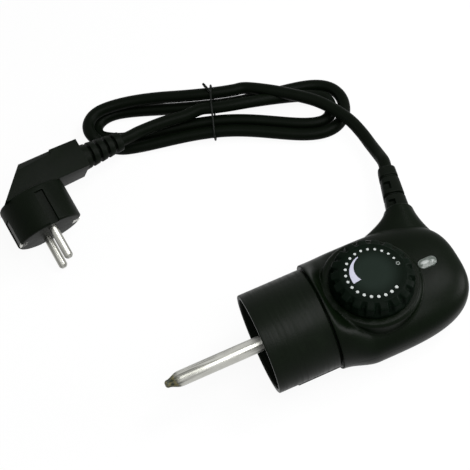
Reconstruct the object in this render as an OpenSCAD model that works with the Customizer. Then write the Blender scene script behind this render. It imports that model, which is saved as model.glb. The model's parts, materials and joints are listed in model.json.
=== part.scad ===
// Removable thermostat: a plug-on control with a dial, an immersion probe, a mains cord and a plug.
// The origin lies on the probe's axis in the plane of the hood's mouth. +X runs to the body's tail,
// +Y to the side where the cord leaves, and +Z is up.

/* [Body] */
// height of the hood's lowest line above the resting surface
base_drop = 1; // [0.5:0.1:4]
// distance from the hood's mouth to the tail of the body
body_end = 110.2; // [100:0.1:125]
// half of the body's greatest width
body_half_width = 31.4; // [28:0.1:38]
// height of the body's top above the probe's axis, at its middle
body_top = 10; // [9:0.1:12]
// wall of the two housing halves
body_wall = 2.4; // [1.8:0.1:3]
// height of the parting plane from the probe's axis, downwards
split_drop = 4; // [2:0.5:8]
// how far the body's collar stands out over the hood
collar_step = 1.8; // [1:0.1:3]

/* [Hood] */
// outside radius of the hood
hood_r = 26; // [25:0.1:26.8]
// wall of the hood
hood_wall = 2.2; // [1.6:0.1:3]
// length of the hood that shows in front of the body
hood_len = 33; // [28:0.5:40]

/* [Dial] */
// distance from the mouth to the middle of the knob's top
dial_x = 63; // [58:0.5:68]
// height of the knob's top above the probe's axis
dial_z = 22; // [18:0.5:28]
// lean of the dial towards the tail, in degrees
dial_tilt = 6; // [0:0.5:10]
// radius of the round boss under the knob
boss_r = 25; // [24:0.1:27]
// radius of the knob at its foot
knob_r = 21; // [19:0.1:22]
// radius of the knob's flat top
knob_top_r = 17; // [15:0.1:18]
// height of the knob
knob_h = 8; // [6:0.1:10]
// number of finger notches round the knob
notch_count = 18; // [12:1:24]
// number of dots of the dial's scale
dot_count = 21; // [11:1:31]

/* [Lamp] */
// distance from the mouth to the middle of the lamp's lens
lamp_x = 92.5; // [90:0.1:96]
// length of the lens, along the body
lens_len = 10; // [8:0.1:12]
// width of the lens
lens_width = 6.5; // [5:0.1:8]

/* [Probe] */
// radius of the probe
probe_r = 4; // [3:0.1:5]
// reach of the bright tube in front of the mouth
probe_reach = 44; // [36:0.5:60]
// length of the pointed tip
tip_len = 4.4; // [3:0.1:8]
// radius of the rod inside the probe
rod_r = 1; // [0.8:0.05:1.5]
// travel of the rod from cold to hot
rod_travel = 0.4; // [0.2:0.05:0.8]

/* [Connector] */
// rim of the terminal block outside a socket's sleeve
sleeve_edge = 1; // [0.8:0.1:3]
// radius of the bore of a socket
socket_bore_r = 2.55; // [2:0.05:3]
// depth of the bore of a socket
socket_depth = 16; // [12:0.5:20]

/* [Cord and plug] */
// radius of the cord
cord_r = 3.5; // [3:0.1:4]
// length of the strain relief outside the body
boot_len = 30.6; // [24:0.1:36]
// radius of the plug's round front
plug_r = 19; // [18:0.1:20]
// radius of a plug pin
pin_r = 2.4; // [2:0.05:2.4]
// length of a plug pin
pin_len = 19; // [18:0.1:20]
// distance between the two plug pins
pin_pitch = 19; // [18:0.1:20]

/* [Fits] */
// radial gap of a shaft that turns or slides in its hole
running_gap = 0.05; // [0.02:0.01:0.1]
// gap between the knob and the boss
knob_gap = 0.3; // [0.2:0.05:0.6]
// gap between the adjusting cam and its follower
cam_gap = 0.15; // [0.1:0.01:0.3]

/* [Hidden] */
$fn = 64;
over = 0.5;
black = [0.10, 0.12, 0.10];
dark = [0.07, 0.08, 0.07];
steel = [0.62, 0.63, 0.64];
bright = [0.75, 0.75, 0.73];
brass = [0.78, 0.62, 0.30];
copper = [0.75, 0.45, 0.30];
ceramic = [0.88, 0.86, 0.80];
pale = [0.70, 0.72, 0.72];
axis_height = hood_r + base_drop;
floor_z = -axis_height;
split_z = -split_drop;
collar_gap = 0.1;

// body
groove = 0.6;
collar_x = hood_len + groove;
collar_r = hood_r + collar_step;
blend_len = 18.5;
top_blend_len = 8;
slope_share = 0.6;
middle_x = 58;
body_shift = 1;
top_fall_share = 0.016;
plan_power_share = 3.08;
upper_power_share = 2.6;
lower_power_share = 2.28;
height_power_share = 0.75;
body_centre = -5;
tail_lift = 1.5;
base_flat = 1.2;
ring_count = 48;
station_shares = [0, 0.035, 0.075, 0.12, 0.17, 0.22, 0.28, 0.35, 0.44, 0.54, 0.63, 0.71, 0.78, 0.84,
    0.89, 0.93, 0.96, 0.98, 0.992, 0.9985];
boss_rim = 1;
boss_rim_h = 1.5;
boss_plate = 2.5;
boss_depth = 22;
boss_wall = 2.5;
boss_top = -knob_h - knob_gap;
screw_spots = [[44, 23.5], [44, -23.5], [74, 25], [99, -12]];
screw_boss_r = 3.6;
screw_r = 1.45;
screw_gap = 0.05;
screw_head_r = 2.7;
screw_head_h = 2;
screw_recess = 15;
screw_len = 14;
screw_cross = 0.6;

// hood and collar
spigot_wall = 1.6;
spigot_r = hood_r - hood_wall - collar_gap;
ridge = 0.6;
ridge_inset = 0.8;
ridge_len = 1.2;
collar_lip = 0.8;
mouth_edge = 0.5;
rib_x = 10.5;
rib_w = 2.4;
rib_rise = 0.6;
rib_turn = 31;

// dial
shoulder_r = 20.2;
shoulder_drop = 1.8;
knob_side = 3;
notch_r = 1.7;
notch_len = 5.4;
notch_lean = 58;
notch_place_r = 20.9;
notch_place_z = -2.9;
dot_ring_r = 13.4;
dot_r = 0.625;
dot_growth = 0.225;
mark_h = 0.12;
dot_step = 15;
wedge_outer_r = 11.4;
wedge_thin = 0.5;
wedge_thick = 4.4;
wedge_from = 105;
wedge_to = 190;
wedge_power_share = 1.3;
spindle_r = 3;
spindle_top = -4;
clip_groove_r = 2.4;
clip_r = 5.5;
clip_h = 1;
clip_drop = 0.2;
clip_slot = 4;
cam_top = -20.5;
cam_h = 3;
cam_r = 7;
cam_rise = 0.7;
cam_turn = 300;
journal_r = 2;
journal_end = -30.6;

// lamp
lens_gap = 0.1;
lens_z = 8.9;
lens_dome = 0.7;
lens_flange = 1;
lens_flange_h = 0.9;
lens_skirt = 5;
lens_wall = 0.7;
neon_r = 2.4;
neon_len = 8;
resistor_r = 1.3;
resistor_len = 6;
lead_r = 0.35;
lead_len = 2.5;

// probe and rod
probe_step_x = 30;
probe_rear_r = 3.6;
probe_end_x = 43;
tube_floor = 0.4;
rod_rest_gap = 0.2;
rod_front_gap = rod_travel + rod_rest_gap;
tip_end_r = 1.5;
tip_shoulder_share = 0.86;
tip_edge_share = 0.97;
tip_flat_share = 0.7;
flange_r = 7;
flange_x = 40.2;
flange_h = 1.8;

// mechanism
frame_x = 42;
frame_plate = 1.2;
frame_half_y = 11;
frame_low = -13;
frame_high = 5.5;
base_end_x = 66;
base_y = -14;
base_y_end = 19.4;
base_z = -8.2;
post_spots = [[48, -10], [62, 14]];
post_r = 3.5;
frame_screw_r = 1.3;
frame_head_r = 2.6;
frame_head_h = 1.8;
frame_screw_len = 7;
stack_x = 43.5;
stack_end_x = 53.5;
stack_y = 15.5;
stack_wire_inset = 1.3;
stack_top = 4.2;
pivot_y = 17;
moving_x = 46.4;
rod_blade_gap = 0.1;
set_x = 50.5;
blade = 0.4;
rod_end_x = moving_x - blade / 2 - rod_blade_gap;
blade_half_h = 3.5;
bead_r = 0.95;
slot_half = 0.6;
moving_end_y = -12;
set_end_y = -14;
contact_y = -9;
contact_r = 1.6;
contact_h = 1.2;
cam_pin_r = 1.2;
cam_pin_z = 0.8;
cam_front_x = 53.58;
cam_pin_end = cam_front_x - cam_gap;

// connector
spigot_len = 3.6;
block_x = collar_x - spigot_len;
block_r = spigot_r - spigot_wall - collar_gap;
block_flange = 1;
block_flange_r = block_r + block_flange;
block_end = collar_x + collar_lip + collar_gap + block_flange;
sleeve_r = 5;
socket_y = block_r - sleeve_r - sleeve_edge;
sleeve_x = 12;
socket_r = 3.4;
socket_x = 13;
socket_end_x = 40;
spring_seat = 1.3;
spring_z = -spigot_r + spring_seat;
spring_half_y = 4;
spring_t = 0.6;
spring_x = 9;
spring_rise = 3;
spring_tab = 8;

// inner wires
wire_r = 1.2;
wire_load_step = 0.8;
wire_load_y = socket_y + wire_load_step;
wire_sides = 8;
socket_lead = 1.5;
neutral_route = [[91.4, 11.7, -0.6], [89.6, 5.5, -3], [84, -4, -12], [73, -13, -16.5], [60, -19, -14],
    [50, -19, -5], [45, -16.5, -0.4], [socket_end_x + socket_lead, -socket_y, 0],
    [socket_end_x, -socket_y, 0]];
line_route = [[89.9, 12.6, 2.3], [88.6, 7.8, 2.6], [83, 7.5, 1], [75, 12, -2.5], [67, 16.5, -3.5],
    [60, 17.8, -3], [55.5, 17.6, -3], [53.5, 17.6, -3]];
earth_route = [[88.2, 12.6, -0.6], [86.5, 8, -3], [80, 3, -13], [68, -1, -17], [58, -5, -16],
    [55, -6, -12], [55, -6, -8.2]];

// neck, strain relief and clamp
neck_end = [97, 39, -4];
neck_yaw = 15;
neck_drop = 9;
neck_back = 18;
neck_r = 7.5;
neck_front_spread = 22;
neck_tail_spread = 7.6;
neck_power_share = 1.3;
neck_stations = 9;
boot_r = 6.1;
boot_tip_r = 4.85;
boot_groove_r = 4.1;
boot_groove = 1.9;
boot_groove_shares = [0.395, 0.79];
boot_root = 4;
boot_flange_r = 7.1;
boot_flange = 3;
window = 1.3;
window_shares = [[0.10, 0.30], [0.48, 0.70]];
tail_back = 28;
clamp_back = 24;
clamp_half = [9.5, 3, 4.3];
clamp_block_half = 5;
clamp_ear_top = 1;
clamp_screw_x = 7;
clamp_post_r = 2.6;
clamp_screw_r = 1.1;
clamp_head_r = 2;
clamp_head_h = 1.4;
clamp_screw_len = 12;
clamp_gap = 0.2;
neck_out = [sin(neck_yaw) * cos(neck_drop), cos(neck_yaw) * cos(neck_drop), -sin(neck_drop)];
boot_end = neck_end + neck_out * boot_len;

// cord: the hank's loops come from a formula, the free stretches are routes chosen by hand
hank_x = 37;
hank_y = 154.8;
hank_turn = -20;
hank_from = 80;
hank_to = 810;
hank_rings = 49;
hank_sides = 6;
hank_waist = 9.75;
hank_bulge_right = 30;
hank_bulge_left = 18.5;
hank_right = 76;
hank_left = 73.5;
hank_pitch = 7.7;
hank_layer = 7.6;
hank_lift = 2;
hank_lift_power_share = 8;
hank_spread = 3;
hank_spread_turns = [110, 150];
hank_pitch_turns = [500, 575];
hank_fall_turns = [190, 225];
hank_climb_turns = [755, 800];
free_sides = 10;
free_steps = 3;
to_hank_route = [[107.2, 81.5, -12.5], [107.3, 92, -15.5], [106.6, 102.5, -16], [104.5, 113, -15.8],
    [99.5, 124.8, -15.6], [92.8, 134.8, -15.3], [82.8, 144.2, -14.6], [72, 153, -14]];
to_plug_route = [[21.7, 159.2, -14.4], [7.7, 160.4, -13.8], [-6, 159.8, -12.8]];

// twist tie
tie_r = 0.7;
tie_gap = 0.95;
tie_step = 15;
tie_end_len = 13;
tie_end_r = 0.75;
tie_end_turns = 3;

// plug
plug_x = -74.5;
plug_y = 115.4;
plug_z = -8.5;
plug_yaw = 7;
plug_pitch = 23;
plug_roll = 14;
plug_depth = 23;
plug_edge = 1.5;
grip_round = 3;
grip_corners = [[-13.5, 22.5, 12.5], [-13.5, 26, 12.5], [-1.5, 37, 12], [33, 37, 8.5], [33, 26, 8.5]];
plug_boot_x = 36;
plug_boot_y = 31;
plug_boot_len = 26;
plug_boot_r = 7.5;
plug_boot_tip_r = 5.5;
plug_boot_rings = 5;
plug_boot_groove = 1.1;
pin_dome = 1.5;
pin_shoulder_share = 0.8;
pin_shoulder_rise_share = 0.6;
pin_flat_share = 0.5;
guide_half = 2.6;
guide_depth = 2.6;
clip_recess_half = 4.4;
clip_recess = 1.9;
clip_half = 2.6;
clip_thick = 0.9;
clip_depth = 15;
clip_face = 5;
plug_boot_end_local = [plug_boot_x + plug_boot_len, plug_boot_y, 0];

// shared functions

function smooth(a, b, v) =
    let (t = min(max((v - a) / (b - a), 0), 1))
    t * t * (3 - 2 * t);

function unit(v) = v / norm(v);

// signed power, for the rounded sections
function bend(v, power) = sign(v) * pow(abs(v), power);

// width left at x, as a share of the full width, for a body that ends at the given x
function plan_share(x, end) =
    x <= middle_x ? 1
    : pow(max(0, 1 - pow((x - middle_x) / (end - middle_x), plan_power_share)), 1 / plan_power_share);

function centre_at(x) =
    body_centre + tail_lift * pow(max(0, (x - middle_x) / (body_end - middle_x)), 2);

// one closed section of the body at x, drawn in by the inset
function section(x, inset) =
    let (
        end = body_end - inset,
        share = plan_share(x, end),
        blend = smooth(collar_x, collar_x + blend_len, x),
        top_blend = smooth(collar_x, collar_x + top_blend_len, x + inset * slope_share),
        centre = centre_at(x),
        half = (body_half_width - inset) * share,
        up = (body_top - inset - top_fall_share * (x - middle_x) - centre) * pow(share, height_power_share),
        down = (centre - floor_z + base_flat - inset) * pow(share, height_power_share),
        ring_r = collar_r - inset
    )
    [for (i = [0:ring_count - 1])
        let (
            a = 360 * i / ring_count,
            power = sin(a) >= 0 ? 2 / upper_power_share : 2 / lower_power_share,
            y = body_shift * share + half * bend(cos(a), power),
            rise = blend + (top_blend - blend) * max(0, sin(a)),
            z = centre + (sin(a) >= 0 ? up : down) * bend(sin(a), power),
            round_y = ring_r * cos(a),
            round_z = ring_r * sin(a)
        )
        [x, round_y + (y - round_y) * blend, max(floor_z + inset, round_z + (z - round_z) * rise)]];

// faces of a closed skin over rings of points
function skin_faces(rings, sides) = concat(
    [[for (k = [0:sides - 1]) k]],
    [for (i = [0:rings - 2]) for (k = [0:sides - 1])
        [i * sides + k, (i + 1) * sides + k, (i + 1) * sides + (k + 1) % sides]],
    [for (i = [0:rings - 2]) for (k = [0:sides - 1])
        [i * sides + k, (i + 1) * sides + (k + 1) % sides, i * sides + (k + 1) % sides]],
    [[for (k = [sides - 1:-1:0]) (rings - 1) * sides + k]]);

function flat_list(lists) = [for (l = lists) for (p = l) p];

// smooth curve through the points, with the given steps between each two
function curve(points, steps) =
    let (
        last = len(points) - 1,
        before = 2 * points[0] - points[1],
        after = 2 * points[last] - points[last - 1],
        all = concat([before], points, [after])
    )
    concat(
        [for (i = [0:last - 1]) for (j = [0:steps - 1])
            let (t = j / steps, a = all[i], b = all[i + 1], c = all[i + 2], d = all[i + 3])
            0.5 * (2 * b + (c - a) * t + (2 * a - 5 * b + 4 * c - d) * t * t
                + (3 * b - a - 3 * c + d) * t * t * t)],
        [points[last]]);

function direction_at(path, i) =
    unit(path[min(i + 1, len(path) - 1)] - path[max(i - 1, 0)]);

// rings of points round a path, square to it
function tube_points(path, r, sides, aside) =
    [for (i = [0:len(path) - 1])
        let (
            along = direction_at(path, i),
            across = unit(cross(along, aside)),
            up = cross(along, across)
        )
        for (k = [0:sides - 1])
            path[i] + r * (cos(360 * k / sides) * across + sin(360 * k / sides) * up)];

module tube(path, r, sides, aside = [0, 0, 1])
    polyhedron(tube_points(path, r, sides, aside), skin_faces(len(path), sides), convexity = 8);

// one pass of the hank in its own plane, before the second loop is drawn in
function hank_plan(turn) =
    let (c = cos(turn), s = sin(turn), bulge = c > 0 ? hank_bulge_right : hank_bulge_left)
    [(c > 0 ? hank_right : hank_left) * c,
        s * (hank_waist + bulge * c * c)
            + hank_spread * (1 - smooth(hank_spread_turns[0], hank_spread_turns[1], turn))];

function hank_height(turn) =
    floor_z + cord_r
        + hank_layer * (1 - smooth(hank_fall_turns[0], hank_fall_turns[1], turn)
            + smooth(hank_climb_turns[0], hank_climb_turns[1], turn))
        + hank_lift * pow(abs(sin(turn)), hank_lift_power_share);

// how far the second loop is drawn in from the first
function hank_offset(turn) =
    hank_pitch * smooth(hank_pitch_turns[0], hank_pitch_turns[1], turn);

function hank_point(turn) =
    let (
        ahead = unit(hank_plan(turn + 1) - hank_plan(turn - 1)),
        flat = hank_plan(turn) + hank_offset(turn) * [-ahead[1], ahead[0]]
    )
    [hank_x + flat[0] * cos(hank_turn) - flat[1] * sin(hank_turn),
        hank_y + flat[0] * sin(hank_turn) + flat[1] * cos(hank_turn), hank_height(turn)];

hank_path = [for (i = [0:hank_rings])
    hank_point(hank_from + (hank_to - hank_from) * i / hank_rings)];
hank_start = hank_path[0];
hank_end = hank_path[hank_rings];
hank_start_way = direction_at(hank_path, 0);
hank_end_way = direction_at(hank_path, hank_rings);

function spin_x(v, a) = [v[0], v[1] * cos(a) - v[2] * sin(a), v[1] * sin(a) + v[2] * cos(a)];
function spin_y(v, a) = [v[0] * cos(a) + v[2] * sin(a), v[1], v[2] * cos(a) - v[0] * sin(a)];
function spin_z(v, a) = [v[0] * cos(a) - v[1] * sin(a), v[0] * sin(a) + v[1] * cos(a), v[2]];
function plug_way(v) = spin_z(spin_x(spin_y(v, plug_roll), plug_pitch), plug_yaw);
function plug_point(v) = [plug_x, plug_y, plug_z] + plug_way(v);
plug_boot_end = plug_point(plug_boot_end_local);
plug_cord_way = plug_way([1, 0, 0]);

to_hank_path = curve(concat([boot_end, boot_end + 2 * cord_r * neck_out], to_hank_route,
    [hank_start - 2 * cord_r * hank_start_way, hank_start]), free_steps);
to_plug_path = curve(concat([hank_end, hank_end + 2 * cord_r * hank_end_way], to_plug_route,
    [plug_boot_end + 2 * cord_r * plug_cord_way, plug_boot_end]), free_steps);

// lengths and least gaps of the cord, measured along its points
function path_length(path) =
    len(path) < 2 ? 0 : [for (i = 1, sum = norm(path[1] - path[0]); i < len(path); i = i + 1,
        sum = sum + (i < len(path) ? norm(path[i] - path[i - 1]) : 0)) sum][len(path) - 2];
function hank_near(i, points) =
    min([for (j = [i + 9:1:len(points) - 1]) norm(points[i] - points[j])]);
hank_fine = [for (turn = [hank_from:5:hank_to]) hank_point(turn)];
hank_gap = min([for (i = [0:len(hank_fine) - 11]) hank_near(i, hank_fine)]) - 2 * cord_r;
echo(hank_gap = hank_gap);
echo(cord_length = path_length(to_hank_path) + path_length(hank_fine) + path_length(to_plug_path));
echo(boot_end = boot_end, hank_start = hank_start, hank_end = hank_end, plug_boot_end = plug_boot_end);

// shared frames and shapes

module dial_frame()
    translate([dial_x, 0, dial_z])
        rotate([0, dial_tilt, 0])
            children();

module neck_frame()
    translate(neck_end)
        rotate([-90 - neck_drop, 0, -neck_yaw])
            children();

module plug_frame()
    translate([plug_x, plug_y, plug_z])
        rotate([0, 0, plug_yaw])
            rotate([plug_pitch, 0, 0])
                rotate([0, plug_roll, 0])
                    children();

// cylinder along X between two places
module x_cylinder(r, from, to, y = 0, z = 0)
    translate([from, y, z])
        rotate([0, 90, 0])
            cylinder(r = r, h = to - from);

// ring along X, hollow
module x_tube(r, bore, from, to, y = 0, z = 0)
    difference() {
        x_cylinder(r, from, to, y, z);
        x_cylinder(bore, from - over, to + over, y, z);
    }

module body_loft(from, inset) {
    end = body_end - inset;
    stations = [for (s = station_shares) from + (end - from) * s];
    polyhedron(flat_list([for (x = stations) section(x, inset)]),
        skin_faces(len(stations), ring_count), convexity = 6);
}

// flare that carries the strain relief, wider along the body than it is high
module neck_loft() {
    points = [for (i = [0:neck_stations - 1])
        let (t = i / (neck_stations - 1), open = pow(1 - t, neck_power_share))
        for (k = [0:ring_count - 1])
            let (
                a = 360 * k / ring_count,
                spread = cos(a) < 0 ? neck_front_spread : neck_tail_spread
            )
            [(neck_r + spread * open) * cos(a),
                neck_r * sin(a) + neck_back * (1 - t) * sin(neck_drop), -neck_back * (1 - t)]];
    neck_frame()
        polyhedron(points, skin_faces(neck_stations, ring_count), convexity = 6);
}

module outer_solid() {
    difference() {
        union() {
            body_loft(collar_x, 0);
            x_cylinder(spigot_r, block_x, collar_x + over);
        }
        x_tube(spigot_r + over, spigot_r - ridge, block_x + ridge_inset - collar_gap,
            block_x + ridge_inset + ridge_len + collar_gap);
        dial_frame()
            translate([0, 0, boss_top])
                cylinder(r = boss_r, h = 2 * knob_h);
    }
    dial_frame()
        rotate_extrude()
            polygon([[0, boss_top], [boss_r - boss_rim, boss_top], [boss_r, boss_top - boss_rim_h],
                [boss_r, -boss_depth], [0, -boss_depth]]);
    neck_loft();
}

module inner_solid() {
    body_loft(block_end, body_wall);
    dial_frame()
        translate([0, 0, -boss_depth - boss_wall])
            cylinder(r = boss_r - boss_wall, h = boss_depth + boss_wall + boss_top - boss_plate);
    neck_frame() {
        translate([0, 0, -neck_back])
            cylinder(r = boot_flange_r, h = neck_back - boot_root);
        translate([0, 0, -neck_back])
            cylinder(r = boot_r, h = neck_back + over);
    }
    neck_frame()
        translate([0, 0, -tail_back - clamp_gap])
            cylinder(r = cord_r + clamp_gap, h = tail_back);
    clamp_place(0)
        translate([-clamp_half[0] - clamp_gap, -clamp_half[1] - clamp_gap, 0])
            cube([2 * (clamp_half[0] + clamp_gap), 2 * (clamp_half[1] + clamp_gap),
                clamp_half[2] + clamp_gap]);
    x_cylinder(block_r + collar_gap, block_x - over, block_end);
    x_cylinder(block_flange_r + collar_gap, collar_x + collar_lip, block_end + collar_gap);
}

module half_space(up) {
    reach = 2 * body_end;
    translate([-reach / 2, -reach / 2, up ? split_z : split_z - reach])
        cube([2 * reach, reach, reach]);
}

// housing

module housing_upper() color(black)
    difference() {
        union() {
            intersection() {
                difference() {
                    outer_solid();
                    inner_solid();
                }
                half_space(true);
            }
            intersection() {
                for (spot = screw_spots)
                    translate([spot[0], spot[1], split_z])
                        cylinder(r = screw_boss_r, h = body_top);
                body_loft(collar_x + collar_lip, body_wall / 2);
            }
        }
        for (spot = screw_spots)
            translate([spot[0], spot[1], floor_z])
                cylinder(r = screw_r + screw_gap, h = screw_recess + screw_len + over);
        dial_frame()
            translate([0, 0, -boss_depth])
                cylinder(r = spindle_r + running_gap, h = boss_depth);
        lens_outline(lens_len + 2 * lens_gap, lens_width + 2 * lens_gap, lens_z - lens_skirt,
            2 * lens_skirt);
        lens_outline(lens_len + 2 * lens_flange + 2 * lens_gap, lens_width + 2 * lens_flange + 2 * lens_gap,
            lens_z - lens_skirt, lens_skirt - body_wall + lens_flange_h + lens_gap);
    }

module housing_lower() color(black)
    difference() {
        union() {
            intersection() {
                difference() {
                    outer_solid();
                    inner_solid();
                }
                half_space(false);
            }
            intersection() {
                union() {
                    for (spot = screw_spots)
                        translate([spot[0], spot[1], floor_z])
                            cylinder(r = screw_boss_r, h = split_z - floor_z);
                    for (spot = post_spots)
                        translate([spot[0], spot[1], floor_z])
                            cylinder(r = post_r, h = base_z - floor_z);
                    clamp_posts();
                }
                body_loft(collar_x + collar_lip, body_wall / 2);
            }
        }
        for (spot = screw_spots) {
            translate([spot[0], spot[1], floor_z - over])
                cylinder(r = screw_r + screw_gap, h = screw_recess + screw_len);
            translate([spot[0], spot[1], floor_z - over])
                cylinder(r = screw_head_r + screw_gap, h = screw_recess + over);
        }
        for (spot = post_spots)
            translate([spot[0], spot[1], base_z - frame_screw_len])
                cylinder(r = frame_screw_r, h = frame_screw_len + over);
        for (side = [-1, 1])
            clamp_place(side)
                translate([0, 0, clamp_ear_top - clamp_screw_len])
                    cylinder(r = clamp_screw_r, h = clamp_screw_len);
    }

module housing_screws() color(steel)
    for (spot = screw_spots)
        translate([spot[0], spot[1], floor_z + screw_recess - screw_head_h])
            difference() {
                union() {
                    cylinder(r = screw_head_r, h = screw_head_h);
                    cylinder(r = screw_r, h = screw_head_h + screw_len);
                }
                for (turn = [0, 90])
                    rotate([0, 0, turn])
                        translate([-screw_r, -screw_cross / 2, -over])
                            cube([2 * screw_r, screw_cross, 2 * over]);
            }

// hood and connector

module hood() color(black) {
    ridge_start = block_x + ridge_inset;
    ridge_end = ridge_start + ridge_len;
    bore_r = hood_r - hood_wall;
    rotate([0, 90, 0])
        rotate_extrude($fn = 96)
            polygon([[bore_r, 0], [hood_r - mouth_edge, 0], [hood_r, mouth_edge], [hood_r, hood_len],
                [bore_r, hood_len], [bore_r, ridge_end], [bore_r - ridge, ridge_end],
                [bore_r - ridge, ridge_start], [bore_r, ridge_start]]);
    rotate([rib_turn, 0, 0])
        translate([rib_x, -hood_r - rib_rise, -rib_w / 2])
            cube([hood_len - rib_x, hood_wall, rib_w]);
}

module terminal_block() color(ceramic)
    difference() {
        union() {
            x_cylinder(block_r, block_x, block_end);
            x_cylinder(block_flange_r, block_end - block_flange, block_end);
        }
        x_cylinder(probe_rear_r, block_x - over, block_end + over);
        for (side = [-1, 1])
            x_cylinder(socket_r, block_x - over, block_end + over, side * socket_y);
    }

module socket_sleeves() color(dark)
    for (side = [-1, 1])
        x_tube(sleeve_r, socket_r, sleeve_x, block_x, side * socket_y);

module socket(side)
    difference() {
        x_cylinder(socket_r, socket_x, socket_end_x, side * socket_y);
        x_cylinder(socket_bore_r, socket_x - over, socket_x + socket_depth, side * socket_y);
    }

module line_socket() color(brass)
    socket(1);

module neutral_socket() color(brass)
    socket(-1);

module earth_spring() color(bright) {
    middle = (spring_x + block_x) / 2;
    translate([0, spring_half_y, 0])
        rotate([90, 0, 0])
            linear_extrude(2 * spring_half_y)
                polygon([[spring_x, spring_z + spring_rise / 2], [middle, spring_z + spring_rise],
                    [block_x - spring_t, spring_z + spring_t], [block_x - spring_t, spring_z + spring_tab],
                    [block_x, spring_z + spring_tab], [block_x, spring_z],
                    [block_x - spring_t, spring_z], [middle, spring_z + spring_rise - spring_t],
                    [spring_x, spring_z + spring_rise / 2 - spring_t]]);
}

// dial

module dial_knob() color(black) {
    dial_frame()
        difference() {
            rotate_extrude($fn = 96)
                polygon([[0, 0], [knob_top_r, 0], [shoulder_r, -shoulder_drop],
                    [knob_r, -knob_h + knob_side], [knob_r, -knob_h], [0, -knob_h]]);
            for (i = [0:notch_count - 1])
                rotate([0, 0, 360 / notch_count * (i + 0.5)])
                    translate([notch_place_r, 0, notch_place_z])
                        rotate([0, 180 - notch_lean / 2, 0])
                            translate([0, 0, -notch_len / 2])
                                cylinder(r = notch_r, h = notch_len, $fn = 24);
            translate([0, 0, -knob_h - over])
                cylinder(r = spindle_r, h = knob_h + spindle_top + over);
        }
}

module dial_marks() color(pale) {
    steps = 16;
    dial_frame() {
        for (i = [0:dot_count - 1])
            rotate([0, 0, i * dot_step])
                translate([dot_ring_r, 0, 0])
                    cylinder(r = dot_r + dot_growth * i / (dot_count - 1), h = mark_h, $fn = 16);
        linear_extrude(mark_h)
            polygon(concat(
                [for (i = [0:steps])
                    let (a = wedge_from + (wedge_to - wedge_from) * i / steps)
                    wedge_outer_r * [cos(a), sin(a)]],
                [for (i = [steps:-1:0])
                    let (
                        a = wedge_from + (wedge_to - wedge_from) * i / steps,
                        growth = pow(i / steps, wedge_power_share),
                        r = wedge_outer_r - wedge_thin - (wedge_thick - wedge_thin) * growth
                    )
                    r * [cos(a), sin(a)]]));
    }
}

module dial_spindle() color(steel) {
    groove = boss_top - boss_plate - clip_drop;
    dial_frame()
        rotate_extrude()
            polygon([[0, spindle_top], [spindle_r, spindle_top], [spindle_r, groove],
                [clip_groove_r, groove], [clip_groove_r, groove - clip_h], [spindle_r, groove - clip_h],
                [spindle_r, cam_top - cam_h], [journal_r, cam_top - cam_h], [journal_r, journal_end],
                [0, journal_end]]);
}

module spindle_clip() color(steel)
    dial_frame()
        translate([0, 0, boss_top - boss_plate - clip_drop - clip_h])
            difference() {
                cylinder(r = clip_r, h = clip_h);
                translate([0, 0, -over])
                    cylinder(r = clip_groove_r, h = clip_h + 2 * over);
                translate([0, -clip_slot / 2, -over])
                    cube([clip_r + over, clip_slot, clip_h + 2 * over]);
            }

// edge of the cam: it rises over the dial's turn and falls back over the rest
function cam_radius(a) =
    a <= cam_turn ? cam_r + cam_rise * a / cam_turn
    : cam_r + cam_rise * (1 - smooth(cam_turn, 360, a));

module adjusting_cam() color(ceramic)
    dial_frame()
        translate([0, 0, cam_top - cam_h])
            difference() {
                rotate([0, 0, 180])
                    linear_extrude(cam_h)
                        polygon([for (a = [0:5:355]) cam_radius(a) * [cos(a), sin(a)]]);
                translate([0, 0, -over])
                    cylinder(r = spindle_r, h = cam_h + 2 * over);
            }

// lamp

module lens_outline(length, width, z, h)
    translate([lamp_x, 0, z])
        linear_extrude(h)
            for (side = [-1, 1])
                union() {
                    translate([side * (length - width) / 2, 0])
                        circle(r = width / 2);
                    square([length - width, width], center = true);
                }

module lamp_lens() color(pale)
    difference() {
        union() {
            lens_outline(lens_len, lens_width, lens_z - lens_skirt, lens_skirt + lens_dome);
            lens_outline(lens_len + 2 * lens_flange, lens_width + 2 * lens_flange,
                lens_z - body_wall - lens_flange_h, 2 * lens_flange_h);
        }
        translate([lamp_x, 0, lens_z - lens_skirt - over])
            cylinder(r = neon_r, h = lens_skirt - lens_wall + over);
    }

module neon_lamp() color(copper)
    translate([lamp_x, 0, lens_z - lens_wall - neon_len])
        cylinder(r = neon_r, h = neon_len);

module lamp_resistor() color(ceramic)
    translate([lamp_x, 0, lens_z - lens_wall - neon_len - lead_len - resistor_len]) {
        cylinder(r = resistor_r, h = resistor_len);
        translate([0, 0, resistor_len - over])
            cylinder(r = lead_r, h = lead_len + over, $fn = 16);
    }

// probe

module probe_tube() color(bright)
    difference() {
        union() {
            x_cylinder(probe_r, -probe_reach, probe_step_x);
            x_cylinder(probe_rear_r, probe_step_x, probe_end_x);
        }
        x_cylinder(rod_r + running_gap, -probe_reach + tube_floor, probe_end_x + over);
    }

module probe_tip() color(bright)
    translate([-probe_reach, 0, 0])
        rotate([0, -90, 0])
            rotate_extrude()
                polygon([[0, 0], [probe_r, 0], [tip_end_r, tip_len * tip_shoulder_share],
                    [tip_end_r * tip_flat_share, tip_len * tip_edge_share], [0, tip_len]]);

module push_rod() color(ceramic)
    x_cylinder(rod_r, -probe_reach + tube_floor + rod_front_gap, rod_end_x);

module probe_flange() color(steel)
    x_tube(flange_r, probe_rear_r, flange_x, flange_x + flange_h);

// switch

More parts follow.
